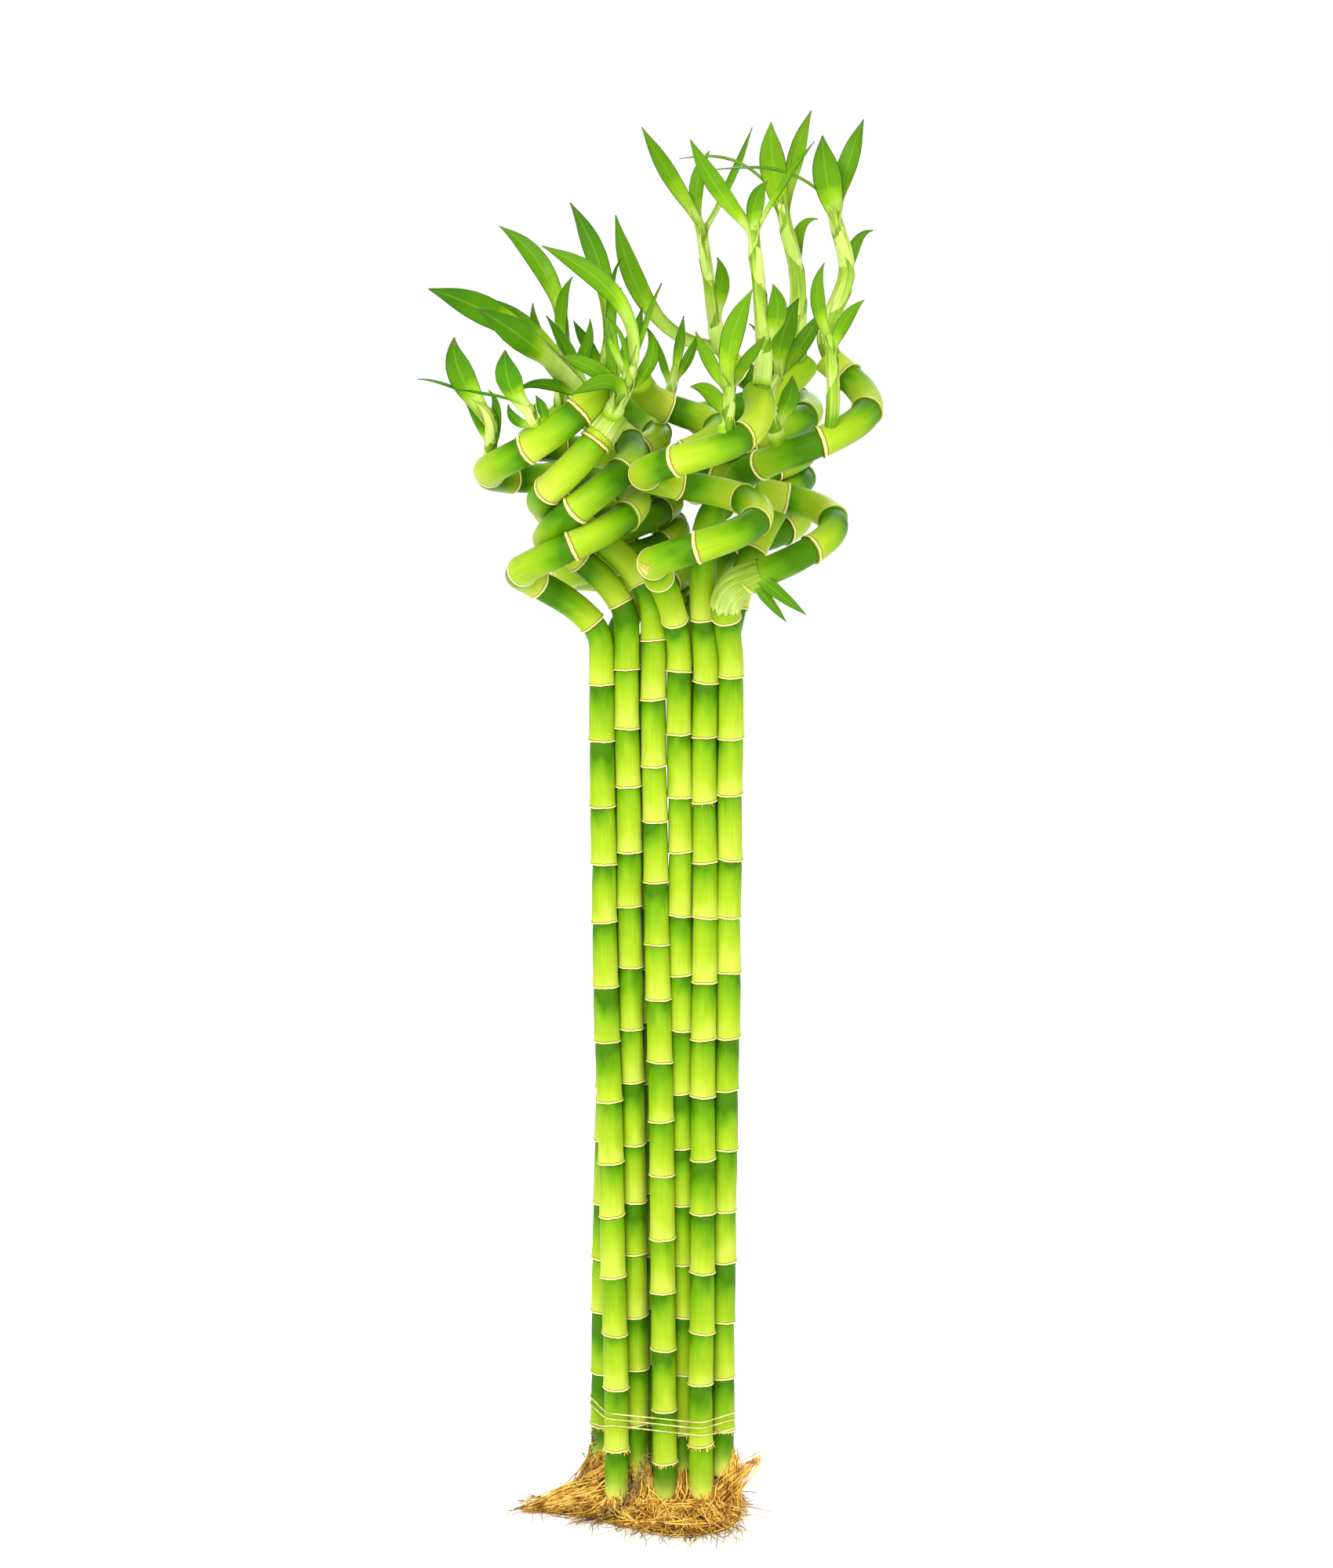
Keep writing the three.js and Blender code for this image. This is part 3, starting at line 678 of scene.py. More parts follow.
@dataclass(frozen=True)
class WaxyCaneSkin:
    """Living cane skin: a thin film of wax gives it a soft sheen over clear green tissue.

    Each length is pale and yellowish above its ring and deepens to dark green towards the next; this is
    partly its own colour and partly painted light, a painted highlight on the pale part and painted shade
    under the next ring.
    """

    pale: str = "#b0be40"
    lime: str = "#96b01e"
    green: str = "#7ca214"
    deep: str = "#588a04"
    dark: str = "#3c6c02"
    ring: str = "#d8d488"
    ring_line: str = "#66501a"
    bleached: str = "#d6d65e"

    def make(self) -> bpy.types.Material:
        """Builds the material.

        Returns:
            The material.
        """
        material, tree, shader, (skin, rise, tone, ring, under, feet) = new_material(
            "waxy_cane_skin", "skin", "rise", "tone", "ring", "under", "bleached")
        pattern = skin.outputs["Vector"]
        # cloudy patches about 12 mm across and 30 mm long
        long_map = add_node(tree, "Mapping", links={"Vector": pattern, "Scale": (80, 80, 32)})
        cloud = add_node(tree, "TexNoise", links={"Vector": long_map, "Scale": 1.0, "Detail": 2.0})
        drift = add_node(tree, "Math", MULTIPLY_ADD, {0: cloud, 1: 0.8, 2: -0.4})
        patchy = add_node(tree, "Math", links={0: rise, 1: drift})
        # the tone carries each length's own shade, and the painted shade of the coils and of the canes at the
        # back
        amount = add_node(tree, "Math", links={0: patchy, 1: tone})
        # along each length: the cane's own change of colour, with a painted highlight on the pale part above
        # the ring and painted shade on the dark part below the next ring
        body = add_node(tree, "ValToRGB", {"ramp": (
            (0.0, self.pale), (0.3, self.lime), (0.6, self.green), (0.84, self.deep), (1.0, self.dark))},
            {0: amount})
        # fine fibres along the cane, about 0.7 mm wide
        fine_map = add_node(tree, "Mapping", links={"Vector": pattern, "Scale": (1100, 1100, 30)})
        fibres = add_node(tree, "TexNoise", links={"Vector": fine_map, "Scale": 1.0, "Detail": 3.0})
        fibre_shade = add_node(tree, "MapRange", links={0: fibres, 1: 0.3, 2: 0.7, 3: 0.93, 4: 1.05})
        streaked = add_node(tree, "VectorMath", SCALE, {0: body, "Scale": fibre_shade})
        # cream lip of the old leaf scar, about 1 mm high, with a thin brown line over it
        wander = add_node(tree, "Math", MULTIPLY_ADD, {0: fibres, 1: 0.9, 2: -0.45})
        near = add_node(tree, "Math", links={0: ring, 1: wander})
        lip = add_node(tree, "MapRange", SOFT_STEP, {0: near, 1: 1.25, 2: 0.8, 3: 0.0, 4: 0.95})
        ringed = add_node(tree, "Mix", COLOUR, {0: lip, 6: streaked, 7: self.ring})
        line_in = add_node(tree, "MapRange", SOFT_STEP, {0: near, 1: 0.75, 2: 1.0, 3: 0.0, 4: 0.85})
        line_out = add_node(tree, "MapRange", SOFT_STEP, {0: near, 1: 1.5, 2: 1.2, 3: 0.0, 4: 1.0})
        line_mask = add_node(tree, "Math", MULTIPLY, {0: line_in, 1: line_out})
        lined = add_node(tree, "Mix", COLOUR, {0: line_mask, 6: ringed, 7: self.ring_line})
        # brown shadow line where the next length of cane slips into the lip
        foot_line = add_node(tree, "MapRange", SOFT_STEP, {0: under, 1: 1.0, 2: 0.4, 3: 0.0, 4: 0.9})
        tucked = add_node(tree, "Mix", COLOUR, {0: foot_line, 6: lined, 7: self.ring_line})
        footed = add_node(tree, "Mix", COLOUR, {0: feet, 6: tucked, 7: self.bleached})
        rough = add_node(tree, "MapRange", links={0: fibres, 1: 0.3, 2: 0.7, 3: 0.34, 4: 0.46})
        bump = add_node(tree, "Bump", links={"Height": fibres, "Strength": 0.1, "Distance": 0.0003})
        connect(tree, shader, {"Base Color": footed, "Roughness": rough, "Normal": bump,
                               "Specular IOR Level": 0.06})
        return material


@dataclass(frozen=True)
class LeafBlade:
    """Living leaf blade: satin, with parallel veins, a pale ribbed foot and a thin darker edge."""

    foot: str = "#bacd6a"
    low: str = "#80a812"
    green: str = "#487e02"
    dark: str = "#2f6202"
    tip: str = "#454f1c"
    edge: str = "#28500c"
    vein: str = "#86b52c"

    def make(self) -> bpy.types.Material:
        """Builds the material.

        Returns:
            The material.
        """
        material, tree, shader, (across, reach, tone) = new_material(
            "satin_leaf_blade", "across", "reach", "tone")
        place = add_node(tree, "TexCoord").outputs["Object"]
        # soft patches about 15 mm across
        cloud = add_node(tree, "TexNoise", links={"Vector": place, "Scale": 65.0, "Detail": 2.0})
        drift = add_node(tree, "Math", MULTIPLY_ADD, {0: cloud, 1: 0.36, 2: -0.18})
        along = add_node(tree, "Math", links={0: reach, 1: drift})
        base = add_node(tree, "ValToRGB", {"ramp": (
            (0.2, self.foot), (0.38, self.low), (0.52, self.green), (0.92, self.dark), (0.99, self.tip))},
            {0: along})
        fresh = add_node(tree, "Mix", COLOUR, {0: tone, 6: base, 7: self.low})
        # parallel veins, about 0.7 mm apart on a middling leaf
        comb = add_node(tree, "CombineXYZ", links={0: across, 1: reach})
        vein_map = add_node(tree, "Mapping", links={"Vector": comb, "Scale": (24, 1.2, 1)})
        veins = add_node(tree, "TexNoise", links={"Vector": vein_map, "Scale": 1.0, "Detail": 3.0})
        # the ribs stand out on the sheath and fade on the blade
        rib_share = add_node(tree, "MapRange", links={0: reach, 1: 0.25, 2: 0.5, 3: 0.7, 4: 0.3})
        centred = add_node(tree, "Math", SUBTRACT, {0: veins, 1: 0.5})
        ribs = add_node(tree, "Math", MULTIPLY_ADD, {0: centred, 1: rib_share, 2: 1.0})
        veined = add_node(tree, "VectorMath", SCALE, {0: fresh, "Scale": ribs})
        # a pale midrib, and a thin dark edge on the blade
        middle = add_node(tree, "Math", SUBTRACT, {0: across, 1: 0.5})
        off = add_node(tree, "Math", {"operation": "ABSOLUTE"}, {0: middle})
        rib = add_node(tree, "MapRange", links={0: off, 1: 0.06, 2: 0.005, 3: 0.0, 4: 0.25})
        ribbed = add_node(tree, "Mix", COLOUR, {0: rib, 6: veined, 7: self.vein})
        edge = add_node(tree, "MapRange", links={0: off, 1: 0.455, 2: 0.49, 3: 0.0, 4: 0.85})
        blade_share = add_node(tree, "MapRange", links={0: reach, 1: 0.2, 2: 0.45, 3: 0.3, 4: 1.0})
        edge_mask = add_node(tree, "Math", MULTIPLY, {0: edge, 1: blade_share})
        edged = add_node(tree, "Mix", COLOUR, {0: edge_mask, 6: ribbed, 7: self.edge})
        rough = add_node(tree, "MapRange", links={0: cloud, 1: 0.3, 2: 0.7, 3: 0.36, 4: 0.5})
        bump = add_node(tree, "Bump", links={"Height": veins, "Strength": 0.3, "Distance": 0.0004})
        connect(tree, shader, {"Base Color": edged, "Roughness": rough, "Normal": bump,
                               "Specular IOR Level": 0.08})
        return material


@dataclass(frozen=True)
class SheathStem:
    """Tender stem of clasping sheaths: pale and satin, finely ribbed lengthwise."""

    pale: str = "#bccc70"
    lime: str = "#96b43a"
    green: str = "#648e16"

    def make(self) -> bpy.types.Material:
        """Builds the material.

        Returns:
            The material.
        """
        material, tree, shader, (skin, reach) = new_material("sheath_stem", "skin", "reach")
        pattern = skin.outputs["Vector"]
        # patches about 7 mm across and 20 mm long
        cloud_map = add_node(tree, "Mapping", links={"Vector": pattern, "Scale": (150, 150, 50)})
        cloud = add_node(tree, "TexNoise", links={"Vector": cloud_map, "Scale": 1.0, "Detail": 2.0})
        drift = add_node(tree, "Math", MULTIPLY_ADD, {0: cloud, 1: 1.2, 2: -0.6})
        along = add_node(tree, "Math", links={0: reach, 1: drift})
        base = add_node(tree, "ValToRGB", {"ramp": (
            (0.0, self.pale), (0.45, self.lime), (1.0, self.green))}, {0: along})
        # ribs about 1 mm apart
        rib_map = add_node(tree, "Mapping", links={"Vector": pattern, "Scale": (1000, 1000, 20)})
        ribs = add_node(tree, "TexNoise", links={"Vector": rib_map, "Scale": 1.0, "Detail": 2.0})
        shade = add_node(tree, "MapRange", links={0: ribs, 1: 0.32, 2: 0.68, 3: 0.62, 4: 1.18})
        ribbed = add_node(tree, "VectorMath", SCALE, {0: base, "Scale": shade})
        bump = add_node(tree, "Bump", links={"Height": ribs, "Strength": 0.3, "Distance": 0.0004})
        connect(tree, shader, {"Base Color": ribbed, "Roughness": 0.42, "Normal": bump,
                               "Specular IOR Level": 0.08})
        return material


@dataclass(frozen=True)
class DryFibre:
    """Dry or damp plant fibre: matt, mottled along its length, each strand in its own shade."""

    name: str
    light: str
    mid: str
    dark: str
    roughness: float = 0.75

    def make(self) -> bpy.types.Material:
        """Builds the material.

        Returns:
            The material.
        """
        material, tree, shader, (tone,) = new_material(self.name, "tone")
        place = add_node(tree, "TexCoord").outputs["Object"]
        # mottling of about 8 mm, and grain of about 1 mm, over a shade for each strand
        patches = add_node(tree, "TexNoise", links={"Vector": place, "Scale": 130.0, "Detail": 3.0})
        grain = add_node(tree, "TexNoise", links={"Vector": place, "Scale": 900.0, "Detail": 2.0})
        mixed = add_node(tree, "Math", MULTIPLY_ADD, {0: grain, 1: 0.35, 2: patches})
        shade = add_node(tree, "Math", MULTIPLY_ADD, {0: tone, 1: 0.4, 2: mixed})
        colour = add_node(tree, "ValToRGB", {"ramp": (
            (0.62, self.dark), (0.82, self.mid), (1.0, self.light))}, {0: shade})
        bump = add_node(tree, "Bump", links={"Height": grain, "Strength": 0.4, "Distance": 0.0004})
        connect(tree, shader, {"Base Color": colour, "Roughness": self.roughness, "Normal": bump,
                               "Specular IOR Level": 0.2})
        return material


class Finishes:
    """The materials of the bunch, each made once."""

    def __init__(self) -> None:
        """Makes the materials."""
        self.cane = WaxyCaneSkin().make()
        self.leaf = LeafBlade().make()
        self.stem = SheathStem().make()
        # dried upper roots, straw gold with brown creases
        self.gold_root = DryFibre("golden_root", "#ecc660", "#cc9a36", "#7e5414").make()
        # dark amber for the lower roots between the golden ones and for the mound under them: painted shade
        # in the gaps of the mat
        self.amber_root_and_gap_shade = DryFibre("amber_root_and_gap_shade", "#c08e34", "#905e1a", "#50300c").make()
        # fine root hairs, which read darker against the white ground
        self.hair_root = DryFibre("root_hair", "#b08a34", "#845f22", "#4e3818").make()
        # dead rootlets, grey brown
        self.old_root = DryFibre("old_rootlet", "#8c7a58", "#54442c", "#261c10").make()
        # papery dry sheath, straw coloured and a little smoother
        self.papery = DryFibre("papery_scale", "#d4ba64", "#b4963e", "#7a5a20", 0.6).make()
        # twisted cotton thread, pale and fuzzy, stained green by the canes
        self.thread = DryFibre("twisted_thread", "#dcd69a", "#c0b86c", "#968c48").make()


# Canes
CANE_SEED = 900
# how far above a ring the mesh's rings lie, close together where the lip bulges
RING_CUTS = (-3.2, -1.7, -0.7, -0.22, 0.0, 0.35, 0.8, 1.3, 2.0, 3.2)
# how far the mesh's even rings keep above one node and below the next
CLEAR_ABOVE = 3.0
CLEAR_BELOW = 3.2
TONES = (-0.2, -0.12, -0.06, 0.0, 0.06, 0.12, 0.24)
# the canes up to this number stand in front
FRONT_CANES = 6
# how far apart in the pattern two lengths of a cane lie, and two canes, in metres
LENGTH_SHIFT = 0.137
CANE_SHIFT = 0.71
# how far from a ring the finish needs its distance
RING_REACH = 8.0
# what is worn off the radius at the foot, and at the last two rings of the mesh at the tip
END_WEAR = (0.6, 0.4, 1.4)


@dataclass
class Cane:
    """One ringed cane: a straight run, a bend and a coil, with its sizes in mm.

    A lip stands over each ring, a collar fades away above it, and a waist lies below it; each
    has the length over which it fades. The coil is thicker by the swell, and each length by
    something between thinnest and thickest. A node beyond either cut end shapes the end. The
    radius of the pattern is in metres.
    """

    number: int
    plan: CanePlan
    finishes: Finishes
    radius: float = 7.95
    lip: float = 0.62
    lip_run: float = 1.7
    collar: float = 0.3
    collar_run: float = 8.0
    waist: float = 0.55
    waist_run: float = 5.0
    swell: float = 1.25
    thinnest: float = -0.15
    thickest: float = 0.2
    oval: float = 0.012
    before_foot: float = 20.0
    beyond_tip: float = 26.0
    kink: float = 0.6
    askew_run: float = 9.0
    bleached: float = 0.85
    bleached_run: float = 11.0
    broad_lip: float = 0.38
    # tone added for the coils' deeper green and painted shade, and for painted shade on the canes at the back
    deeper_green_and_shade: float = 0.1
    pattern_radius: float = 0.0077
    sides: int = 28
    step: float = 5.0
    last_gap: float = 9.0
    line: Line = field(init=False)
    nodes: list[float] = field(init=False)

    def __post_init__(self) -> None:
        """Works out the centre line and the places of the nodes."""
        self.line = Line(self.centre_line())
        self.nodes = self.node_places()

    @property
    def straight(self) -> float:
        """Length of its straight run."""
        return float(self.line.table[STRAIGHT_POINTS])

    def place(self, mark: float) -> float:
        """Length along the cane of a mark, which counts back from the tip where it is below zero."""
        return mark if mark > 0 else self.line.total + mark

    def coil_point(self, angle: float) -> np.ndarray:
        """Point of the coil at an angle in degrees.

        Args:
            angle: How far round, in degrees.

        Returns:
            The point, in mm.
        """
        coil = COILS[self.plan.coil]
        turn = math.cos(math.radians(angle))
        z = coil.z + self.plan.lift + coil.pitch * (angle - 180) / 360
        left = math.radians(self.plan.leave - angle) * coil.radius
        rise = TIP_RISE * (1 - left / TIP_RUN) ** 2 if left < TIP_RUN else 0.0
        above = z - COIL_DATUM
        waist = coil.pinch * math.exp(-((z - coil.waist_z) / WAIST_HEIGHT) ** 2)
        radius = coil.radius + coil.flare * above - waist
        fade = math.exp(-((angle - self.plan.enter) / SHIFT_FADE) ** 2)
        return np.array((
            coil.x + radius * turn + coil.lean_x * above + waist * coil.side,
            coil.y + radius * math.sin(math.radians(angle)) + coil.lean_y * above,
            z + coil.tilt * radius * (turn + 1) + rise,
        )) + np.array(self.plan.shift) * fade

    def centre_line(self) -> np.ndarray:
        """Centre line from foot to tip, in mm.

        Returns:
            Its points, in mm.
        """
        foot = np.array(self.plan.foot, dtype=float)
        top = np.array(self.plan.top, dtype=float)
        points = []
        for k in range(STRAIGHT_POINTS):
            t = k / STRAIGHT_POINTS
            points.append(foot + (top - foot) * np.array((smooth(t), smooth(t), t)))
        # the bend is a cubic that leaves the straight run upright and meets the coil head on
        enter = self.plan.enter
        join = self.coil_point(enter)
        heading = unit(self.coil_point(enter + 0.5) - self.coil_point(enter - 0.5))
        span = float(np.linalg.norm(join - top))
        for k in range(BEND_POINTS):
            t = k / BEND_POINTS
            points.append(top * (2 * t ** 3 - 3 * t ** 2 + 1)
                          + np.array((0.0, 0.0, span)) * (t ** 3 - 2 * t ** 2 + t)
                          + join * (3 * t ** 2 - 2 * t ** 3)
                          + heading * span * BEND_REACH * (t ** 3 - t ** 2))
        turn = self.plan.leave - enter
        steps = round(turn / COIL_STEP)
        points += [self.coil_point(enter + turn * k / steps) for k in range(steps + 1)]
        return np.array(points)

    def node_places(self) -> list[float]:
        """Lengths along the cane at which its node rings sit, by a rule that keeps them uneven.

        Returns:
            The lengths, in mm.
        """
        out = []
        place = FIRST_NODE + FIRST_NODE_SPREAD * math.sin(self.number * 1.88 - 1.54)
        while place < self.line.total - self.last_gap:
            step = NODE_STEP if place < self.straight else COIL_NODE_STEP
            out.append(place)
            place += step + NODE_SPREAD * math.sin((len(out) - 1) * 2.3 + self.number * 1.7)
        return out

    def stations(self) -> np.ndarray:
        """Places of the mesh's rings: close together at the nodes.

        Returns:
            Lengths along the cane, in mm.
        """
        total = self.line.total
        places = {0.0, 1.2, total - 2.4, total - 1.0, total}
        for node in self.nodes:
            places.update(node + cut for cut in RING_CUTS)
        marks = [0.0, *self.nodes, total]
        for low, high in zip(marks, marks[1:]):
            count = max(int((high - low - 6) / self.step), 1)
            places.update(np.linspace(low + CLEAR_ABOVE, high - CLEAR_BELOW, count + 1).tolist())
        ordered = sorted(p for p in places if 0.0 <= p <= total)
        kept = [ordered[0]]
        for place in ordered[1:]:
            if place - kept[-1] > LEAST_RING_GAP:
                kept.append(place)
        while (len(kept) - 1) % RING_GROUPS:
            widest = int(np.argmax(np.diff(kept)))
            kept.insert(widest + 1, (kept[widest] + kept[widest + 1]) / 2)
        return np.array(kept)

    def build(self) -> bpy.types.Object:
        """Models the cane and dresses it.

        Returns:
            The finished cane.
        """
        rng = random.Random(CANE_SEED + self.number)
        places = self.stations()
        obj, ring, angle = ringed_blank(f"ringed_cane_{self.number:02d}", len(places), self.sides)
        centres = self.line.at(places)
        sides, ups = carried_frames(centres, (1.0, 0.2, 0.1))
        # the nodes, and one beyond each cut end
        marks = np.array([-self.before_foot, *self.nodes, self.line.total + self.beyond_tip])
        below = np.clip(np.searchsorted(marks, places + 1e-6, side="right") - 1, 0, len(marks) - 2)
        above = places - marks[below]
        under = marks[below + 1] - places
        rise = above / (above + under)
        # every node sets the axis off a little
        kink = draws(rng, 2 * len(marks), -self.kink, self.kink).reshape(-1, 2)
        wander = kink[below] * (1 - rise[:, None]) + kink[below + 1] * rise[:, None]
        centres = centres + sides * wander[:, :1] + ups * wander[:, 1:]
        fat = draws(rng, len(marks), self.thinnest, self.thickest)
        coiled = float(self.line.table[STRAIGHT_POINTS + BEND_POINTS])
        share = np.array([smooth(place, self.straight, coiled) for place in places])
        lip = self.lip * np.exp(-above / self.lip_run) + self.collar * np.exp(-above / self.collar_run)
        girth = (self.radius + fat[below] + self.swell * share + lip
                 - self.waist * np.exp(-under / self.waist_run))
        # the cut ends have worn edges
        girth[[0, -2, -1]] -= np.array(END_WEAR)
        # every ring sits a little askew, with a ragged lip
        mark = np.where(under < above, below + 1, below)[ring]
        skew = draws(rng, len(marks), 0.1, 1.0)[mark]
        look = draws(rng, len(marks), 0, 2 * math.pi)[mark]
        close = np.exp(-(np.minimum(above, under) / self.askew_run) ** 2)[ring]
        fringe = 0.12 * np.sin(angle * 5 + mark * 1.9) + 0.1 * np.sin(angle * 11 + mark * 2.7)
        slide = skew * np.cos(angle - look) * close + fringe * close ** 20
        axis = unit(np.gradient(centres, axis=0))
        reach = girth[ring] * (1 + self.oval * np.cos(2 * angle + self.number))
        set_places(obj, centres[ring] + turned(sides[ring], ups[ring], angle) * reach[:, None]
                   + axis[ring] * slide[:, None])
        # the coils are a deeper green, partly their own colour and partly painted shade between their turns;
        # the canes at the back are darkened by painted shade for lying behind the others
        tones = np.array([rng.choice(TONES) for _ in marks])
        depth = self.deeper_green_and_shade * share + (self.deeper_green_and_shade if self.number > FRONT_CANES else 0.0)
        # each length has its own stretch of the pattern
        shift = below[ring] * LENGTH_SHIFT + self.number * CANE_SHIFT
        write_values(
            obj,
            rise=rise[ring],
            # the feet in the mat are bleached
            bleached=self.bleached * np.exp(-(places / self.bleached_run) ** 2)[ring],
            # the lips are broader in the coil
            ring=np.clip(above * (1.0 - self.broad_lip * share), 0.0, RING_REACH)[ring],
            under=np.clip(under, 0.0, RING_REACH)[ring],
            tone=tones[below[ring]] + depth[ring],
            skin=skin_map(angle, self.pattern_radius, places[ring] * MM + shift),
        )
        return finish_piece(obj, f"cane_{self.number:02d}", SOFT_CANE, self.finishes.cane)


# Shoots
SHOOT_SEED = 300
# how far apart in the pattern two stems lie, in metres
STEM_SHIFT = 0.37
SHEATH_STEPS = (0.0, 0.1, 0.2, 0.3, 0.44, 0.58, 0.7, 0.8, 0.88, 0.95, 1.0)
BLADE_WIDTH = (0.8, 0.82, 0.85, 0.82, 0.92, 1.0, 0.9, 0.68, 0.42, 0.18, 0.012)
BLADE_CURL = (330, 300, 230, 150, 90, 64, 50, 42, 36, 32, 28)
CLASP_END = 0.2
ROLL_END = 0.3


@dataclass
class Shoot:
    """One leafy shoot: a stem of clasping sheaths, and its leaves, with their sizes in mm.

    A sheath starts at each step or up to its slip further on, and its point turns from sheath to
    sheath and sways a little. Wrap and turn are in degrees, the sway is in radians and the radius
    of the pattern in metres. The stem has a narrow neck at its foot and is greener there.
    """

    number: int
    plan: ShootPlan
    cane: Cane
    finishes: Finishes
    line_points: int = 60
    frame_points: int = 40
    stem_sides: int = 16
    stem_rings: int = 46
    rows: int = 34
    columns: int = 10
    blade_mm: float = 0.5
    sheath_mm: float = 0.3
    sheath_rows: int = 14
    sheath_columns: int = 20
    sheath_wrap: float = 352.0
    sheath_step: float = 32.0
    sheath_turn: float = 168.0
    sheath_least: float = 46.0
    sheath_most: float = 60.0
    sheath_slip: float = 8.0
    sheath_sway: float = 0.5
    clasp_mm: float = 26.0
    neck: float = 0.3
    neck_run: float = 6.0
    green_foot: float = 1.3
    green_from: float = 10.0
    green_run: float = 7.0
    pattern_radius: float = 0.004
    line: Line = field(init=False)

    def __post_init__(self) -> None:
        """Works out the stem's centre line, from inside the cane's skin to the top."""
        foot = self.cane.line.at(np.array([self.cane.line.total - self.plan.back]))[0]
        self.line = Line(rounded_line([tuple(foot), *self.plan.stem], self.line_points))

    def girth(self, place: np.ndarray) -> np.ndarray:
        """Radius of the stem at lengths along it: a neck at the foot, then an even taper."""
        taper = self.plan.base + (self.plan.tip - self.plan.base) * place / self.line.total
        return taper * (1 - self.neck * np.exp(-place / self.neck_run))

    def clasp(self, place: np.ndarray, angle: np.ndarray, proud: np.ndarray) -> np.ndarray:
        """Places on or just off the stem's skin.

        Args:
            place: Lengths along the stem.
            angle: Angles round it.
            proud: Distance off the skin.

        Returns:
            One place for each set of values, in mm.
        """
        stations = np.linspace(0, self.line.total, self.frame_points)
        sides, ups = carried_frames(self.line.at(stations), (1.0, 0.1, 0.0))
        side, up = at_length(sides, stations, place), at_length(ups, stations, place)
        return self.line.at(place) + (self.girth(place) + proud)[:, None] * turned(side, up, angle)

    def foot_green(self, place: np.ndarray) -> np.ndarray:
        """How much greener the stem is where it leaves the cane's skin."""
        return self.green_foot * np.exp(-np.maximum(place - self.green_from, 0.0) / self.green_run)

    def build_stem(self) -> bpy.types.Object:
        """Models the stem as a smooth tapered tube.

        Returns:
            The stem.
        """
        obj, ring, angle = ringed_blank("stem", self.stem_rings, self.stem_sides)
        place = np.linspace(0, self.line.total, self.stem_rings)[ring]
        proud = np.where(ring == self.stem_rings - 1, -0.6 * self.plan.tip, 0.0)
        set_places(obj, self.clasp(place, angle, proud))
        tint = (place / self.sheath_step + angle / (2 * math.pi)) % 1.0
        self.dress(obj, tint * 0.7 + self.foot_green(place), place, angle, self.finishes.stem)
        return obj

    def dress(self, obj: bpy.types.Object, reach: np.ndarray, place: np.ndarray, angle: np.ndarray,
              material: bpy.types.Material) -> None:
        """Writes the values that the finishes read, and sets the material.

        Args:
            obj: The part of the shoot.
            reach: Place along the part for each vertex, from 0 to 1.
            place: Length in mm along the stem for each vertex.
            angle: Angle round the stem, or place across the blade times two pi.
            material: The part's material.
        """
        write_values(
            obj,
            reach=reach,
            across=angle / (2 * math.pi),
            skin=skin_map(angle, self.pattern_radius, place * MM + self.number * STEM_SHIFT),
            tone=random.Random(self.number * 17 + int(place.sum())).uniform(0.0, 0.4),
        )
        obj.data.materials.append(material)

    def build_sheath(self, start: float, length: float, turn: float, layer: int) -> bpy.types.Object:
        """Models a long sheath drawn tight round the stem, its slanting mouth drawn to a point.

        Args:
            start: Length along the stem at the sheath's foot.
            length: Length of the sheath to its point.
            turn: Which way its point looks, in radians.
            layer: How many sheaths lie under it.

        Returns:
            The sheath.
        """
        obj, across, reach = sheet_blank("sheath", self.sheath_rows, self.sheath_columns)
        off = np.abs(across - 0.5) * 2
        mouth = 0.45 + 0.4 * (1 - off) + 0.15 * np.exp(-(off / 0.16) ** 2)
        place = np.clip(start + length * reach * mouth, 0, self.line.total)
        point = np.exp(-(off / 0.2) ** 2) * np.clip(reach - 0.75, 0, 1) * 2.4
        proud = 0.1 + 0.08 * layer + 0.35 * reach ** 6 + point
        angle = turn + (across - 0.5) * math.radians(self.sheath_wrap)
        set_places(obj, self.clasp(place, angle, proud))
        self.dress(obj, 0.1 + reach * 0.8 + self.foot_green(place), place, angle, self.finishes.stem)
        thicken(obj, self.sheath_mm)
        return obj

    def leaf_spine(self, leaf: LeafPlan) -> tuple[np.ndarray, np.ndarray, float]:
        """Line of a leaf: along the stem that it clasps, then in one even bow out to its tip.

        Args:
            leaf: The leaf's plan.

        Returns:
            One point for each row of the leaf, in mm, its length along stem and leaf, and the share
            of the leaf that clasps.
        """
        top = leaf.at * self.line.total
        low = max(top - self.clasp_mm, 0.25 * top)
        stem = self.line.at(np.linspace(low, top, 12))
        mid, tip = np.array(leaf.mid, dtype=float), np.array(leaf.tip, dtype=float)
        control = mid * 2 - (stem[-1] + tip) / 2
        t = np.linspace(0, 1, 40)[1:, None]
        path = Line(np.vstack((stem, (1 - t) ** 2 * stem[-1] + 2 * t * (1 - t) * control + t ** 2 * tip)))
        rows = np.linspace(0, path.total, self.rows + 1)
        return relaxed(path.at(rows), 2), low + rows, (top - low) / path.total

    def build_leaf(self, leaf: LeafPlan, layer: int) -> bpy.types.Object:
        """Models a leaf: it clasps the stem, unrolls to a shallow trough and ends in a fine point.

        Args:
            leaf: The leaf's plan.
            layer: How many leaves clasp the stem under it.

        Returns:
            The leaf.
        """
        obj, across, reach = sheet_blank("leaf", self.rows, self.columns)
        spine, place, clasping = self.leaf_spine(leaf)
        # the blade faces the front, turned by the plan's angle
        along = unit(np.gradient(spine, axis=0))
        side = np.cross(along, np.array((0.0, -1.0, 0.0)))
        side /= np.maximum(np.linalg.norm(side, axis=1, keepdims=True), 0.2)
        turn = math.radians(leaf.turn)
        side = unit(side * math.cos(turn) + np.cross(along, side) * math.sin(turn))
        face = np.cross(side, along)
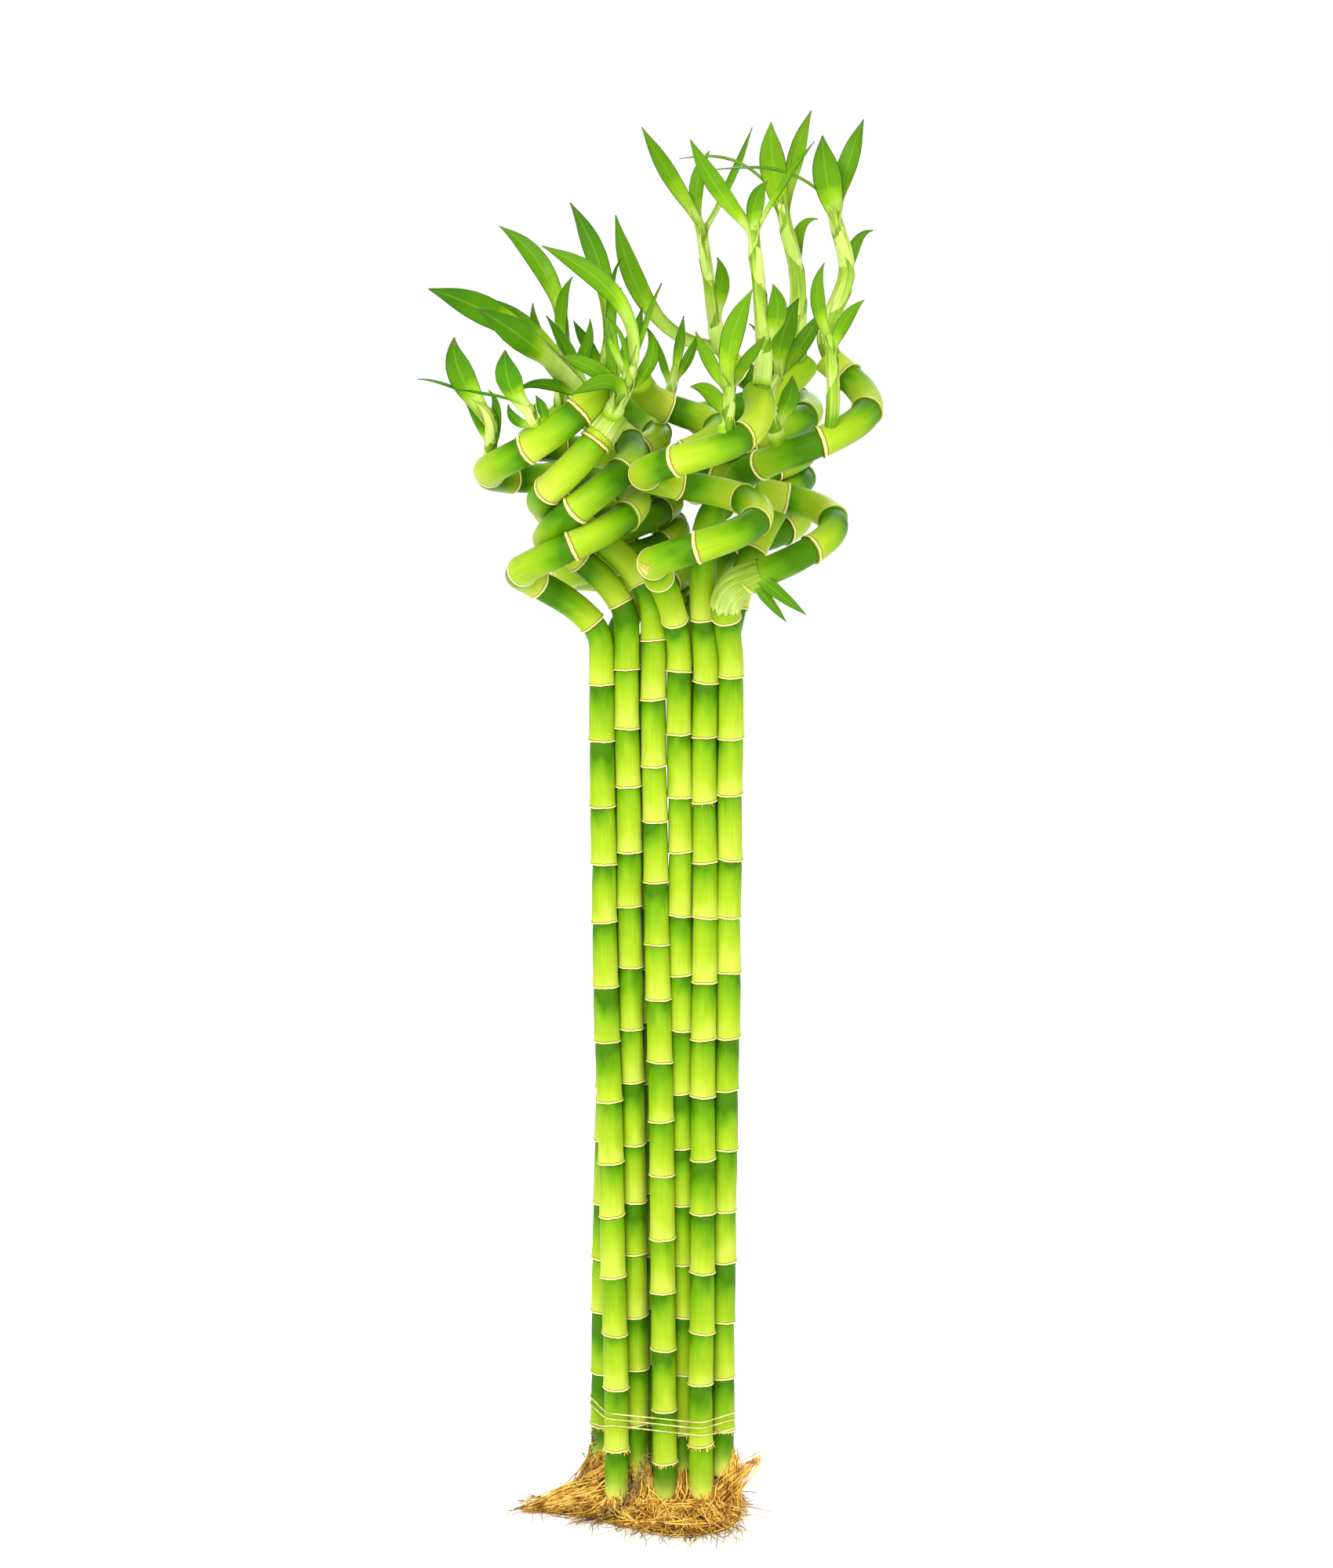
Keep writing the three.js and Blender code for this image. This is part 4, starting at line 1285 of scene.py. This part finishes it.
        # from the rolled sheath to the open blade, by the stage of each row
        rolled_to = clasping + leaf.sheath * (1 - clasping)
        share = np.linspace(0, 1, self.rows + 1)
        stage = np.interp(share, (0.0, clasping, rolled_to, 1.0), (0.0, CLASP_END, ROLL_END, 1.0))
        curl = np.radians(np.interp(stage, SHEATH_STEPS, BLADE_CURL))
        width = leaf.width * np.interp(stage, SHEATH_STEPS, BLADE_WIDTH)
        clasp = float(self.girth(np.array([leaf.at * self.line.total]))[0]) + 0.25 * (layer + 1)
        rolled = np.array([1 - smooth(s, 0.12, ROLL_END) for s in stage])
        radius = np.maximum(width, 0.5) / curl * (1 - rolled) + clasp * rolled
        hollow = 1.0 if float((face[:, 2] >= -0.15).mean()) >= 0.5 else -1.0
        row = np.rint(reach * self.rows).astype(int)
        bend = (across - 0.5) * curl[row]
        ripple = 0.25 * np.sin(reach * 17 + self.number + leaf.width) * (np.abs(across - 0.5) * 2) ** 2
        depth = hollow * radius[row] * (1 - np.cos(bend) - rolled[row]) + ripple * (1 - rolled[row])
        set_places(obj, spine[row] + side[row] * (radius[row] * np.sin(bend))[:, None]
                   + face[row] * depth[:, None])
        shown = np.maximum(stage, 0.33 * self.foot_green(place))
        self.dress(obj, shown[row], reach * 80, across * 2 * math.pi, self.finishes.leaf)
        thicken(obj, self.blade_mm)
        return obj

    def build(self) -> bpy.types.Object:
        """Models the whole shoot.

        Returns:
            The finished shoot.
        """
        rng = random.Random(SHOOT_SEED + self.number)
        parts = [self.build_stem()]
        for layer in range(max(int(self.line.total / self.sheath_step), 1)):
            start = self.sheath_step * layer + rng.uniform(0, self.sheath_slip)
            turn = layer * math.radians(self.sheath_turn) + rng.uniform(-self.sheath_sway, self.sheath_sway)
            length = min(rng.uniform(self.sheath_least, self.sheath_most), (self.line.total - start) * 1.05)
            parts.append(self.build_sheath(start, length, turn, layer))
        for layer, leaf in enumerate(self.plan.leaves):
            parts.append(self.build_leaf(leaf, layer))
        return joined_piece(parts, f"leafy_shoot_{self.number:02d}", f"shoot_{self.number:02d}")


# Thread
# turns round the canes, from the left, and height in mm: it sags between the canes that it bears on
THREAD_HEIGHTS = (
    (0.0, 53), (0.07, 57), (0.15, 64), (0.21, 63), (0.26, 53), (0.33, 57), (0.44, 57), (0.52, 54),
    (0.75, 60), (0.97, 66), (1.07, 69), (1.15, 68), (1.21, 69), (1.33, 60), (1.45, 64), (1.52, 60),
    (1.75, 66), (1.97, 71), (2.07, 74), (2.15, 72), (2.21, 72), (2.33, 64), (2.45, 68), (2.54, 64),
)


@dataclass
class TieThread:
    """Two-ply thread wound two and a half times round the canes near their feet.

    Its radius, the length of one twist and its distance from the canes' middles are in mm.
    """

    canes: list[Cane]
    finishes: Finishes
    turns: float = 2.6
    steps: int = 300
    ply: float = 0.3
    lay: float = 3.0
    stand_off: float = 9.2
    height: float = 64.0
    rounds: int = 14
    sides: int = 6

    def reach_point(self, angle: float) -> np.ndarray:
        """Point of a level thread pulled tight round the canes, at an angle.

        Args:
            angle: The angle, in radians.

        Returns:
            The point, in mm.
        """
        heading = np.array((math.cos(angle), math.sin(angle)))
        spots = [cane.line.at(np.array([self.height - cane.line.points[0][2]]))[0][:2] for cane in self.canes]
        furthest = max(spots, key=lambda spot: float(spot @ heading))
        return np.array((*(furthest + heading * self.stand_off), self.height))

    def build(self) -> bpy.types.Object:
        """Winds the thread.

        Returns:
            The thread.
        """
        angles = math.pi + np.linspace(0, 2 * math.pi * self.turns, self.steps)
        core = Line(np.array([self.reach_point(angle) for angle in angles]))
        once = float(np.interp(3 * math.pi, angles, core.table))
        places, heights = zip(*THREAD_HEIGHTS)
        core.points[:, 2] = np.interp(core.table / once, places, heights)
        core = Line(core.at(np.linspace(0, places[-1] * once, self.steps)))
        places = np.arange(0, core.total, 1.0)
        centres = relaxed(core.at(places), self.rounds)
        sides, ups = carried_frames(centres, (0.0, 0.0, 1.0))
        lines = [centres + turned(sides, ups, places / self.lay * 2 * math.pi + phase) * self.ply
                 for phase in (0.0, math.pi)]
        radii = [np.full(len(places), self.ply) for _ in lines]
        obj = drawn_strands("twisted_thread_tie", lines, radii, self.sides)
        write_values(obj, tone=0.55)
        return finish_piece(obj, "tie_thread", SOFT_FIBRE, self.finishes.thread)


# Wraps
@dataclass(frozen=True)
class Wrap:
    """A scale or torn sheath on a cane: place and length in mm, facing, arc in degrees, and its look.

    Teeth is the height in mm of the torn teeth at its lower edge; taper 1 draws its upper end to
    a point.
    """

    name: str
    cane: int
    place: float
    length: float
    facing: tuple[float, float, float]
    arc: float
    teeth: float
    taper: float
    papery: bool


# places below zero count back from the cane's tip
WRAPS = (
    Wrap("torn_sheath", 6, 590, 36, (0, -1, 0), 330, 5.0, 0.0, False),
    Wrap("bud_scale", 4, 666.5, 9, (-0.5, -0.8, -0.2), 50, 0.0, 1.0, True),
    Wrap("cut_sheath", 3, -15, 19, (0, -1, 0), 345, 0.6, 0.35, False),
)


@dataclass(frozen=True)
class LeafTip:
    """A small pointed leaf that pokes out of the torn sheath: from, to and width in mm."""

    base: tuple[float, float, float]
    tip: tuple[float, float, float]
    width: float


LEAF_TIPS = (
    LeafTip((54, -50, 628), (86, -53, 603), 9.0),
    LeafTip((54, -47, 622), (74, -50, 598), 7.0),
)
# share of a leaf tip's width at places along it
TIP_STEPS = (0.0, 0.35, 0.7, 1.0)
TIP_WIDTH = (0.6, 1.0, 0.62, 0.03)


@dataclass
class CaneWraps:
    """Dry scales and torn sheaths that still clasp the canes.

    Sizes are in mm, and the radius of the pattern is in metres.
    """

    canes: list[Cane]
    finishes: Finishes
    rows: int = 14
    columns: int = 60
    proud: float = 0.55
    teeth: int = 17
    sheath_mm: float = 0.35
    pattern_radius: float = 0.008
    frame_points: int = 40
    tip_rows: int = 12
    tip_columns: int = 8
    tip_mm: float = 0.5

    def build_wrap(self, wrap: Wrap) -> bpy.types.Object:
        """Models one wrap as a thin curved sheet on the cane's skin.

        Args:
            wrap: Its plan.

        Returns:
            The wrap.
        """
        cane = self.canes[wrap.cane - 1]
        obj, across, reach = sheet_blank(wrap.name, self.rows, self.columns)
        start = cane.place(wrap.place)
        zigzag = np.abs((across * self.teeth + 0.4 * np.sin(across * 23)) % 1.0 - 0.5) * 2
        place = start + wrap.length * reach - wrap.teeth * zigzag * (1 - reach) ** 4
        narrow = 1 - wrap.taper * reach ** 1.5
        stations = np.linspace(start - 8, min(start + wrap.length, cane.line.total), self.frame_points)
        middle = cane.line.at(stations)
        sides, ups = carried_frames(middle, wrap.facing)
        angle = np.radians((across - 0.5) * wrap.arc * narrow)
        side, up = at_length(sides, stations, place), at_length(ups, stations, place)
        girth = cane.radius + cane.swell + self.proud + 0.5 * (1 - reach) ** 2
        set_places(obj, at_length(middle, stations, place) + girth[:, None] * turned(side, up, angle))
        write_values(obj, reach=0.15 + 0.5 * reach, tone=0.5,
                     skin=skin_map(angle, self.pattern_radius, place * MM))
        obj.data.materials.append(self.finishes.papery if wrap.papery else self.finishes.stem)
        thicken(obj, self.sheath_mm)
        return finish_piece(obj, f"cane_{wrap.cane:02d}", SOFT_LEAF)

    def build_tip(self, leaf: LeafTip) -> bpy.types.Object:
        """Models a small pointed leaf, folded a little along its middle.

        Args:
            leaf: Its plan.

        Returns:
            The leaf tip.
        """
        obj, across, reach = sheet_blank("leaf_tip", self.tip_rows, self.tip_columns)
        base, tip = np.array(leaf.base, dtype=float), np.array(leaf.tip, dtype=float)
        side = np.cross(unit(tip - base), np.array((0.0, -1.0, 0.0)))
        off = (across - 0.5) * leaf.width * np.interp(reach, TIP_STEPS, TIP_WIDTH)
        spots = base + (tip - base) * reach[:, None] + side * off[:, None]
        spots[:, 1] += 0.25 * np.abs(off) - 2.0 * np.sin(np.pi * reach)
        set_places(obj, spots)
        write_values(obj, reach=0.42 + 0.5 * reach, across=across, tone=0.1)
        obj.data.materials.append(self.finishes.leaf)
        thicken(obj, self.tip_mm)
        return obj

    def build(self) -> list[bpy.types.Object]:
        """Models all the wraps, and the leaf tips as one piece."""
        tips = joined_piece([self.build_tip(leaf) for leaf in LEAF_TIPS], "leaf_tips", "cane_06")
        return [self.build_wrap(wrap) for wrap in WRAPS] + [tips]


# Fringes
@dataclass(frozen=True)
class Fringe:
    """Short shreds on a ring of a cane: place and least and greatest length in mm, and lean outward."""

    cane: int
    place: float
    count: int
    least: float
    most: float
    lean: float


# places below zero count back from the cane's tip
PAPERY_FRINGES = [
    Fringe(5, 463.0, 16, 1.2, 3.6, 0.35),
    Fringe(6, 392.0, 18, 1.2, 3.8, 0.35),
    Fringe(6, 198.0, 12, 1.0, 2.6, 0.3),
    Fringe(4, -3.0, 12, 1.6, 4.2, -0.5),
    Fringe(9, -3.0, 12, 1.6, 4.6, -0.4),
    Fringe(6, -3.0, 12, 1.6, 4.2, -0.5),
    Fringe(3, -3.0, 10, 1.4, 3.4, -0.5),
]
FRINGE_SEED = 77
# share of its radius that a shred keeps from point to point
SHRED_TAPER = (1.0, 1.0, 0.8, 0.6, 0.3)


@dataclass
class NodeFringes:
    """Root buds on the lowest rings, and ragged shreds of dry sheath on a few others."""

    canes: list[Cane]
    finishes: Finishes
    bud_count: int = 34
    bud_least: float = 0.8
    bud_most: float = 2.6
    bud_lean: float = 0.6
    bud_radius: float = 0.5
    shred_radius: float = 0.28
    rng: random.Random = field(default_factory=lambda: random.Random(FRINGE_SEED))

    def shred(self, fringe: Fringe, angle: float) -> np.ndarray:
        """Points of one shred that leaves a ring downward.

        Args:
            fringe: The fringe that it is in.
            angle: Where round the ring it leaves, in radians.

        Returns:
            Its points, in mm.
        """
        cane = self.canes[fringe.cane - 1]
        place = cane.place(fringe.place)
        if fringe.place > 0:
            place = min(cane.nodes, key=lambda node: abs(node - place))
        spots = cane.line.at(np.array([place, place - 1.0]))
        down = unit(spots[1] - spots[0])
        side = unit(np.cross(down, np.array((0.0, 1.0, 0.2))))
        out = side * math.cos(angle) + np.cross(down, side) * math.sin(angle)
        length = self.rng.uniform(fringe.least, fringe.most)
        skew = np.cross(down, out) * self.rng.gauss(0, 0.4)
        t = np.linspace(0, 1, len(SHRED_TAPER))[:, None]
        return spots[0] + out * (cane.radius + 0.25) + length * (
            down * t + skew * t + out * fringe.lean * t ** 2)

    def build_fringes(self, name: str, fringes: list[Fringe], radius: float,
                      material: bpy.types.Material) -> list[bpy.types.Object]:
        """Draws all the shreds of one kind, a piece for each cane.

        Args:
            name: Name of the pieces.
            fringes: The fringes to draw.
            radius: Thickness of a shred at its foot, in mm.
            material: Their material.

        Returns:
            The pieces.
        """
        rng = self.rng
        made = []
        for number in sorted({fringe.cane for fringe in fringes}):
            lines = [self.shred(fringe, rng.uniform(0, 2 * math.pi))
                     for fringe in fringes if fringe.cane == number for _ in range(fringe.count)]
            radii = [radius * rng.uniform(0.7, 1.2) * np.array(SHRED_TAPER) for _ in lines]
            obj = drawn_strands(f"{name}_{number:02d}", lines, radii, STRAND_SIDES)
            write_values(obj, tone=0.6)
            made.append(finish_piece(obj, f"cane_{number:02d}", SOFT_FIBRE, material))
        return made

    def build(self) -> list[bpy.types.Object]:
        """Models the root buds and the dry fringes.

        Returns:
            The pieces.
        """
        buds = [Fringe(cane.number, cane.nodes[0], self.bud_count, self.bud_least, self.bud_most,
                       self.bud_lean) for cane in self.canes]
        return (self.build_fringes("root_buds", buds, self.bud_radius, self.finishes.gold_root)
                + self.build_fringes("dry_fringe", PAPERY_FRINGES, self.shred_radius, self.finishes.papery))


# Roots
@dataclass(frozen=True)
class Lobe:
    """Where the mat reaches further out or less far: angle and spread in degrees, and gain."""

    angle: float
    spread: float
    gain: float


@dataclass(frozen=True)
class Tuft:
    """A bundle of strands that leaves the mat: from, to and spread in mm, and how many."""

    base: tuple[float, float, float]
    tip: tuple[float, float, float]
    spread: float
    count: int


ROOT_SEED = 4711
MAT_LOBES = (Lobe(-72, 30, 0.42), Lobe(190, 17, 0.38), Lobe(5, 32, -0.14))

TUFTS = (
    Tuft((-42, -6, 14), (-92, -12, 2), 9.0, 80),
    Tuft((30, -12, 8), (62, -6, 35), 6.0, 80),
    Tuft((43, -8, 8), (45, -2, 40), 6.0, 60),
    Tuft((-48, 2, 8), (-43, 2, 36), 6.0, 50),
    Tuft((-14, -20, 8), (-13, -5, 30), 8.0, 110),
    Tuft((11, -20, 8), (12, -5, 29), 7.0, 100),
    Tuft((28, -22, 6), (30, -8, 24), 6.0, 50),
)

# bundles of short crooked rootlets
GREY_ROOTS = (
    Tuft((-58, -12, 16), (-48, -8, 50), 3.4, 44),
    Tuft((-29, -30, 10), (-12, -17, 42), 3.0, 60),
    Tuft((-44, -42, 8), (-27, -30, 12), 3.0, 26),
)


@dataclass
class RootMat:
    """The matted roots: a mound, over a thousand strands on it, tufts and fine whiskers.

    Sizes are in mm. Each pair of radii is the least and the greatest of its strands.
    """

    canes: list[Cane]
    finishes: Finishes
    centre_x: float = -4.0
    half_width: float = 62.0
    half_depth: float = 40.0
    height: float = 25.0
    front_drop: float = 0.46
    foot_clear: float = 8.3
    mound_sides: int = 120
    mound_rings: int = 44
    mound_share: float = 0.96
    mound_sink: float = 1.4
    points: int = 22
    floor: float = 0.6
    golden_down: int = 820
    golden_round: int = 90
    amber_down: int = 260
    amber_round: int = 110
    hairs: int = 210
    golden_radii: tuple[float, float] = (0.4, 0.66)
    amber_radii: tuple[float, float] = (0.34, 0.6)
    hair_radii: tuple[float, float] = (0.26, 0.44)
    rootlet_radii: tuple[float, float] = (0.2, 0.36)
    rng: random.Random = field(default_factory=lambda: random.Random(ROOT_SEED))

    def rim(self, angle: float) -> float:
        """How far the mat reaches at an angle in radians, as a share of its half sizes.

        Args:
            angle: The angle, in radians.

        Returns:
            The share.
        """
        share = 1.0
        for lobe in MAT_LOBES:
            off = (math.degrees(angle) - lobe.angle + 180) % 360 - 180
            share += lobe.gain * math.exp(-(off / lobe.spread) ** 2)
        return share

    def spot(self, angle: float, reach: float) -> tuple[float, float]:
        """Place of the mat at an angle, at a share of its half sizes."""
        return (self.centre_x + self.half_width * reach * math.cos(angle),
                self.half_depth * reach * math.sin(angle))

    def mound_height(self, x: float, y: float) -> float:
        """Height of the mound at a place, in mm: it falls away in front of the foremost canes.

        Args:
            x: Place across, in mm.
            y: Place in depth, in mm.

        Returns:
            The height, in mm.
        """
        u, v = (x - self.centre_x) / self.half_width, y / self.half_depth
        away = math.hypot(u, v) / self.rim(math.atan2(v, u))
        front = 1 - self.front_drop * smooth(-y, 6.0, 24.0)
        return self.height * front * (1 - smooth(away, 0.3, 1.08)) + 0.4

    def build_mound(self) -> bpy.types.Object:
        """Models the dense heart of the mat from a ball pressed flat.

        Returns:
            The mound.
        """
        pick()
        bpy.ops.mesh.primitive_uv_sphere_add(
            segments=self.mound_sides, ring_count=self.mound_rings, radius=1.0)
        obj = named_active("root_mound")
        places = vertex_places(obj)
        angle = np.arctan2(places[:, 1], places[:, 0])
        rims = np.array([self.rim(a) for a in angle])
        reach = np.hypot(places[:, 0], places[:, 1]) * rims * self.mound_share
        x = self.centre_x + self.half_width * reach * np.cos(angle)
        y = self.half_depth * reach * np.sin(angle)
        rough = 0.9 * np.sin(x * 0.9) * np.sin(y * 1.1) + 0.6 * np.sin(x * 2.1 + y)
        top = np.array([self.mound_height(a, b) for a, b in zip(x, y)]) - self.mound_sink
        lifted = np.maximum(top * np.clip(places[:, 2] * 2.2, 0, 1) + rough * 0.6, 0.3)
        set_places(obj, np.column_stack((x, y, np.where(places[:, 2] > 0, lifted, 0.0))))
        # the lowest tone gives the mound the darkest amber: painted shade in the gaps between the strands
        write_values(obj, tone=0.0)
        return finish_piece(obj, "root_mat", SOFT_FIBRE, self.finishes.amber_root_and_gap_shade)

    def downhill_strand(self) -> np.ndarray:
        """Points of a strand that leaves a cane's foot and runs down to the rim.

        Returns:
            Its points, in mm.
        """
        rng = self.rng
        foot = rng.choice(self.canes).line.points[0]
        angle = math.atan2(foot[1] / self.half_depth, (foot[0] - self.centre_x) / self.half_width)
        angle += rng.gauss(0, 0.55)
        start = (foot[0] + self.foot_clear * math.cos(angle), foot[1] + self.foot_clear * math.sin(angle))
        end = self.spot(angle, rng.uniform(0.55, 1.06) * self.rim(angle))
        swirl = rng.gauss(0, 5)
        top = foot[2] + rng.uniform(-3, 5) + (8 if foot[1] > -10 else 0)
        over = rng.uniform(-0.4, 1.7)
        out = []
        for t in np.linspace(0, 1, self.points):
            bow = swirl * math.sin(math.pi * t)
            x = start[0] + (end[0] - start[0]) * t - bow * math.sin(angle)
            y = start[1] + (end[1] - start[1]) * t + bow * math.cos(angle)
            ground = self.mound_height(x, y) + over
            out.append((x, y, max(top * (1 - t) ** 3 + ground * (1 - (1 - t) ** 3), self.floor)))
        return self.waved(np.array(out), 1.5)

    def ring_strand(self) -> np.ndarray:
        """Points of a strand that runs round the mat's slope.

        Returns:
            Its points, in mm.
        """
        rng = self.rng
        start = rng.uniform(0, 2 * math.pi)
        sweep = rng.choice((-1, 1)) * rng.uniform(0.45, 1.25)
        inner, outer = rng.uniform(0.45, 1.0), rng.uniform(0.6, 1.06)
        over = rng.uniform(-0.4, 1.7)
        out = []
        for t in np.linspace(0, 1, self.points):
            angle = start + sweep * t
            x, y = self.spot(angle, (inner + (outer - inner) * t) * self.rim(angle))
            out.append((x, y, max(self.mound_height(x, y) + over, self.floor)))
        return self.waved(np.array(out), 1.3)

    def scatter(self, size: float) -> np.ndarray:
        """A random offset in space, of about a size."""
        return np.array([self.rng.gauss(0, size) for _ in range(3)])

    def tuft_strand(self, tuft: Tuft) -> np.ndarray:
        """Points of a strand in a bundle, close together at its tip.

        Args:
            tuft: The bundle that it is in.

        Returns:
            Its points, in mm.
        """
        off = self.scatter(tuft.spread * 0.5)
        start = np.array(tuft.base) + off
        end = np.array(tuft.tip) + off * 0.35 + self.scatter(1.0)
        end = start + (end - start) * self.rng.uniform(0.5, 1.08)
        bow = self.scatter(2.0)
        t = np.linspace(0, 1, self.points)[:, None]
        line = start + (end - start) * t + bow * np.sin(np.pi * t)
        line[:, 2] = np.maximum(line[:, 2], self.floor)
        return self.waved(line, 0.6)

    def whisker(self) -> np.ndarray:
        """Points of a long curled root hair that leaves the rim, mostly at the front and left.

        Returns:
            Its points, in mm.
        """
        rng = self.rng
        angle = math.radians(rng.choice((rng.gauss(-80, 28), rng.gauss(-80, 28), rng.gauss(-128, 28),
                                         rng.gauss(192, 14), rng.uniform(0, 360))))
        start = self.spot(angle, rng.uniform(0.88, 1.02) * self.rim(angle))
        # the hairs are combed to the left as they leave the mat
        heading = math.atan2(start[1], start[0] - self.centre_x - 14) + rng.gauss(0, 0.5)
        length = rng.choice((rng.uniform(6, 14), rng.uniform(10, 24)))
        bow = rng.choice((-0.8, -0.5, -0.2, 0.3, 0.6)) * length
        lift = rng.uniform(0.5, 6.0)
        out = []
        for t in np.linspace(0, 1, self.points):
            off = bow * t * t
            x = start[0] + length * t * math.cos(heading) - off * math.sin(heading)
            y = start[1] + length * t * math.sin(heading) + off * math.cos(heading)
            out.append((x, y, max(lift * (1 - t) * (1 + t), 0.4)))
        return self.waved(np.array(out), 0.5)

    def rootlet(self, bundle: Tuft) -> np.ndarray:
        """Points of a short crooked rootlet somewhere along a bundle.

        Args:
            bundle: The bundle that it is in.

        Returns:
            Its points, in mm.
        """
        t = self.rng.random()
        base, tip = np.array(bundle.base), np.array(bundle.tip)
        spot = base + (tip - base) * t + self.scatter(bundle.spread * (1.2 - 0.8 * t) * 0.5)
        heading = unit(tip - base) + self.scatter(0.7)
        step = self.rng.uniform(3.5, 11.0) / self.points
        out = []
        for k in range(self.points):
            if k % 4 == 0:
                heading = unit(heading) + self.scatter(0.35)
            spot = spot + heading * step
            out.append((spot[0], spot[1], max(spot[2], 0.5)))
        return np.array(out)

    def waved(self, line: np.ndarray, size: float) -> np.ndarray:
        """A strand with the small waves of a dried root.

        Args:
            line: Points of the strand, in mm.
            size: Half the height of a wave, in mm.

        Returns:
            The waved points.
        """
        rng = self.rng
        t = np.linspace(0, 1, len(line))
        shift = [size * (np.sin(t * rng.uniform(5, 12) + rng.uniform(0, 6))
                         + 0.3 * np.sin(t * rng.uniform(14, 22))) for _ in range(3)]
        line = line + np.column_stack((shift[0], shift[1], shift[2] * 0.35))
        line[:, 2] = np.maximum(line[:, 2], 0.5)
        return line

    def build_strands(self, name: str, strands: list[np.ndarray], thick: tuple[float, float],
                      material: bpy.types.Material) -> bpy.types.Object:
        """Draws strands as one piece.

        Args:
            name: Name of the piece.
            strands: Points of each strand, in mm.
            thick: Least and greatest radius in mm.
            material: Their material.

        Returns:
            The piece.
        """
        rng = self.rng
        radii = [rng.uniform(*thick) * np.linspace(1.0, 0.4, self.points) for _ in strands]
        obj = drawn_strands(name, strands, radii, STRAND_SIDES)
        each = len(obj.data.vertices) // len(strands)
        write_values(obj, tone=np.repeat([rng.random() for _ in strands], each))
        return finish_piece(obj, "root_mat", SOFT_FIBRE, material)

    def build(self) -> list[bpy.types.Object]:
        """Models the whole mat.

        Returns:
            Its pieces.
        """
        finishes = self.finishes
        golden = [self.downhill_strand() for _ in range(self.golden_down)]
        golden += [self.ring_strand() for _ in range(self.golden_round)]
        tufts = [self.tuft_strand(tuft) for tuft in TUFTS for _ in range(tuft.count)]
        amber = [self.ring_strand() for _ in range(self.amber_round)]
        amber += [self.downhill_strand() for _ in range(self.amber_down)]
        grey = [self.rootlet(tuft) for tuft in GREY_ROOTS for _ in range(tuft.count)]
        made = [
            self.build_mound(),
            self.build_strands("root_strands_golden", golden, self.golden_radii, finishes.gold_root),
            self.build_strands("root_tufts_golden", tufts, self.golden_radii, finishes.gold_root),
            self.build_strands("root_strands_amber", amber, self.amber_radii, finishes.amber_root_and_gap_shade),
        ]
        hairs = [self.whisker() for _ in range(self.hairs)]
        made.append(self.build_strands("root_whiskers", hairs, self.hair_radii, finishes.hair_root))
        made.append(self.build_strands("rootlets_grey", grey, self.rootlet_radii, finishes.old_root))
        return made


# Studio
@dataclass(frozen=True)
class SoftLight:
    """A square area light that looks at the bunch: place and size in metres, power in watts."""

    name: str
    place: tuple[float, float, float]
    size: float
    power: float


LIGHTS = (
    SoftLight("key_light", (-0.9, -2.3, 1.7), 1.8, 72.0),
    SoftLight("fill_light", (1.7, -1.5, 1.0), 1.6, 14.0),
    SoftLight("back_light", (0.4, 2.1, 1.7), 1.6, 26.0),
)


@dataclass
class Studio:
    """White floor and surround, soft lights and the camera, in metres."""

    eye: tuple[float, float, float] = (0.0, -2.083, 0.879)
    target: tuple[float, float, float] = (0.0, 0.0, 0.487)
    lens: float = 76.3
    lit: tuple[float, float, float] = (0.0, 0.0, 0.5)
    floor_size: float = 80.0
    surround: float = 1.04

    def aimed(self, name: str, data: bpy.types.ID, place: tuple[float, float, float],
              target: tuple[float, float, float]) -> bpy.types.Object:
        """Places a camera or light so that it looks at a target.

        Args:
            name: Name of the object.
            data: The camera or light.
            place: Where it stands.
            target: What it looks at.

        Returns:
            The object.
        """
        obj = bpy.data.objects.new(name, data)
        obj.location = place
        obj.rotation_euler = (Vector(target) - Vector(place)).to_track_quat("-Z", "Y").to_euler()
        bpy.context.scene.collection.objects.link(obj)
        return obj

    def build(self) -> None:
        """Sets up the whole studio, with the camera at the photograph's viewing angle."""
        scene = bpy.context.scene
        scene.view_settings.view_transform = "Standard"
        camera = bpy.data.cameras.new("camera")
        camera.sensor_fit = "VERTICAL"
        camera.sensor_height = 36.0
        camera.lens = self.lens
        scene.camera = self.aimed("camera", camera, self.eye, self.target)
        for light in LIGHTS:
            data = bpy.data.lights.new(light.name, "AREA")
            data.size = light.size
            data.energy = light.power
            self.aimed(light.name, data, light.place, self.lit)
        pick()
        bpy.ops.mesh.primitive_plane_add(size=self.floor_size)
        floor = named_active("studio_floor")
        # matt white paint: no sheen, so that it stays even
        material, tree, shader, _ = new_material("matt_white_floor")
        connect(tree, shader, {"Base Color": "#fdfdfd", "Roughness": 1.0, "Specular IOR Level": 0.0})
        floor.data.materials.append(material)
        scene.world = bpy.data.worlds.new("white_surround")
        scene.world.use_nodes = True
        tree = scene.world.node_tree
        connect(tree, tree.nodes["Background"], {"Color": "#ffffff", "Strength": self.surround})


# Main
def main() -> None:
    """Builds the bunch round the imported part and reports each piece."""
    logging.basicConfig(level=logging.INFO, format="%(name)s: %(message)s")
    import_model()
    Studio().build()
    finishes = Finishes()
    canes = [Cane(number, plan, finishes) for number, plan in enumerate(CANES, 1)]
    made = [cane.build() for cane in canes]
    made += [Shoot(number, plan, canes[plan.cane - 1], finishes).build()
             for number, plan in enumerate(SHOOTS, 1)]
    made += CaneWraps(canes, finishes).build()
    made += NodeFringes(canes, finishes).build()
    made.append(TieThread(canes, finishes).build())
    made += RootMat(canes, finishes).build()
    for piece in made:
        LOG.info("%s: %d faces", piece.name, len(piece.data.polygons))


if __name__ == "__main__":
    main()
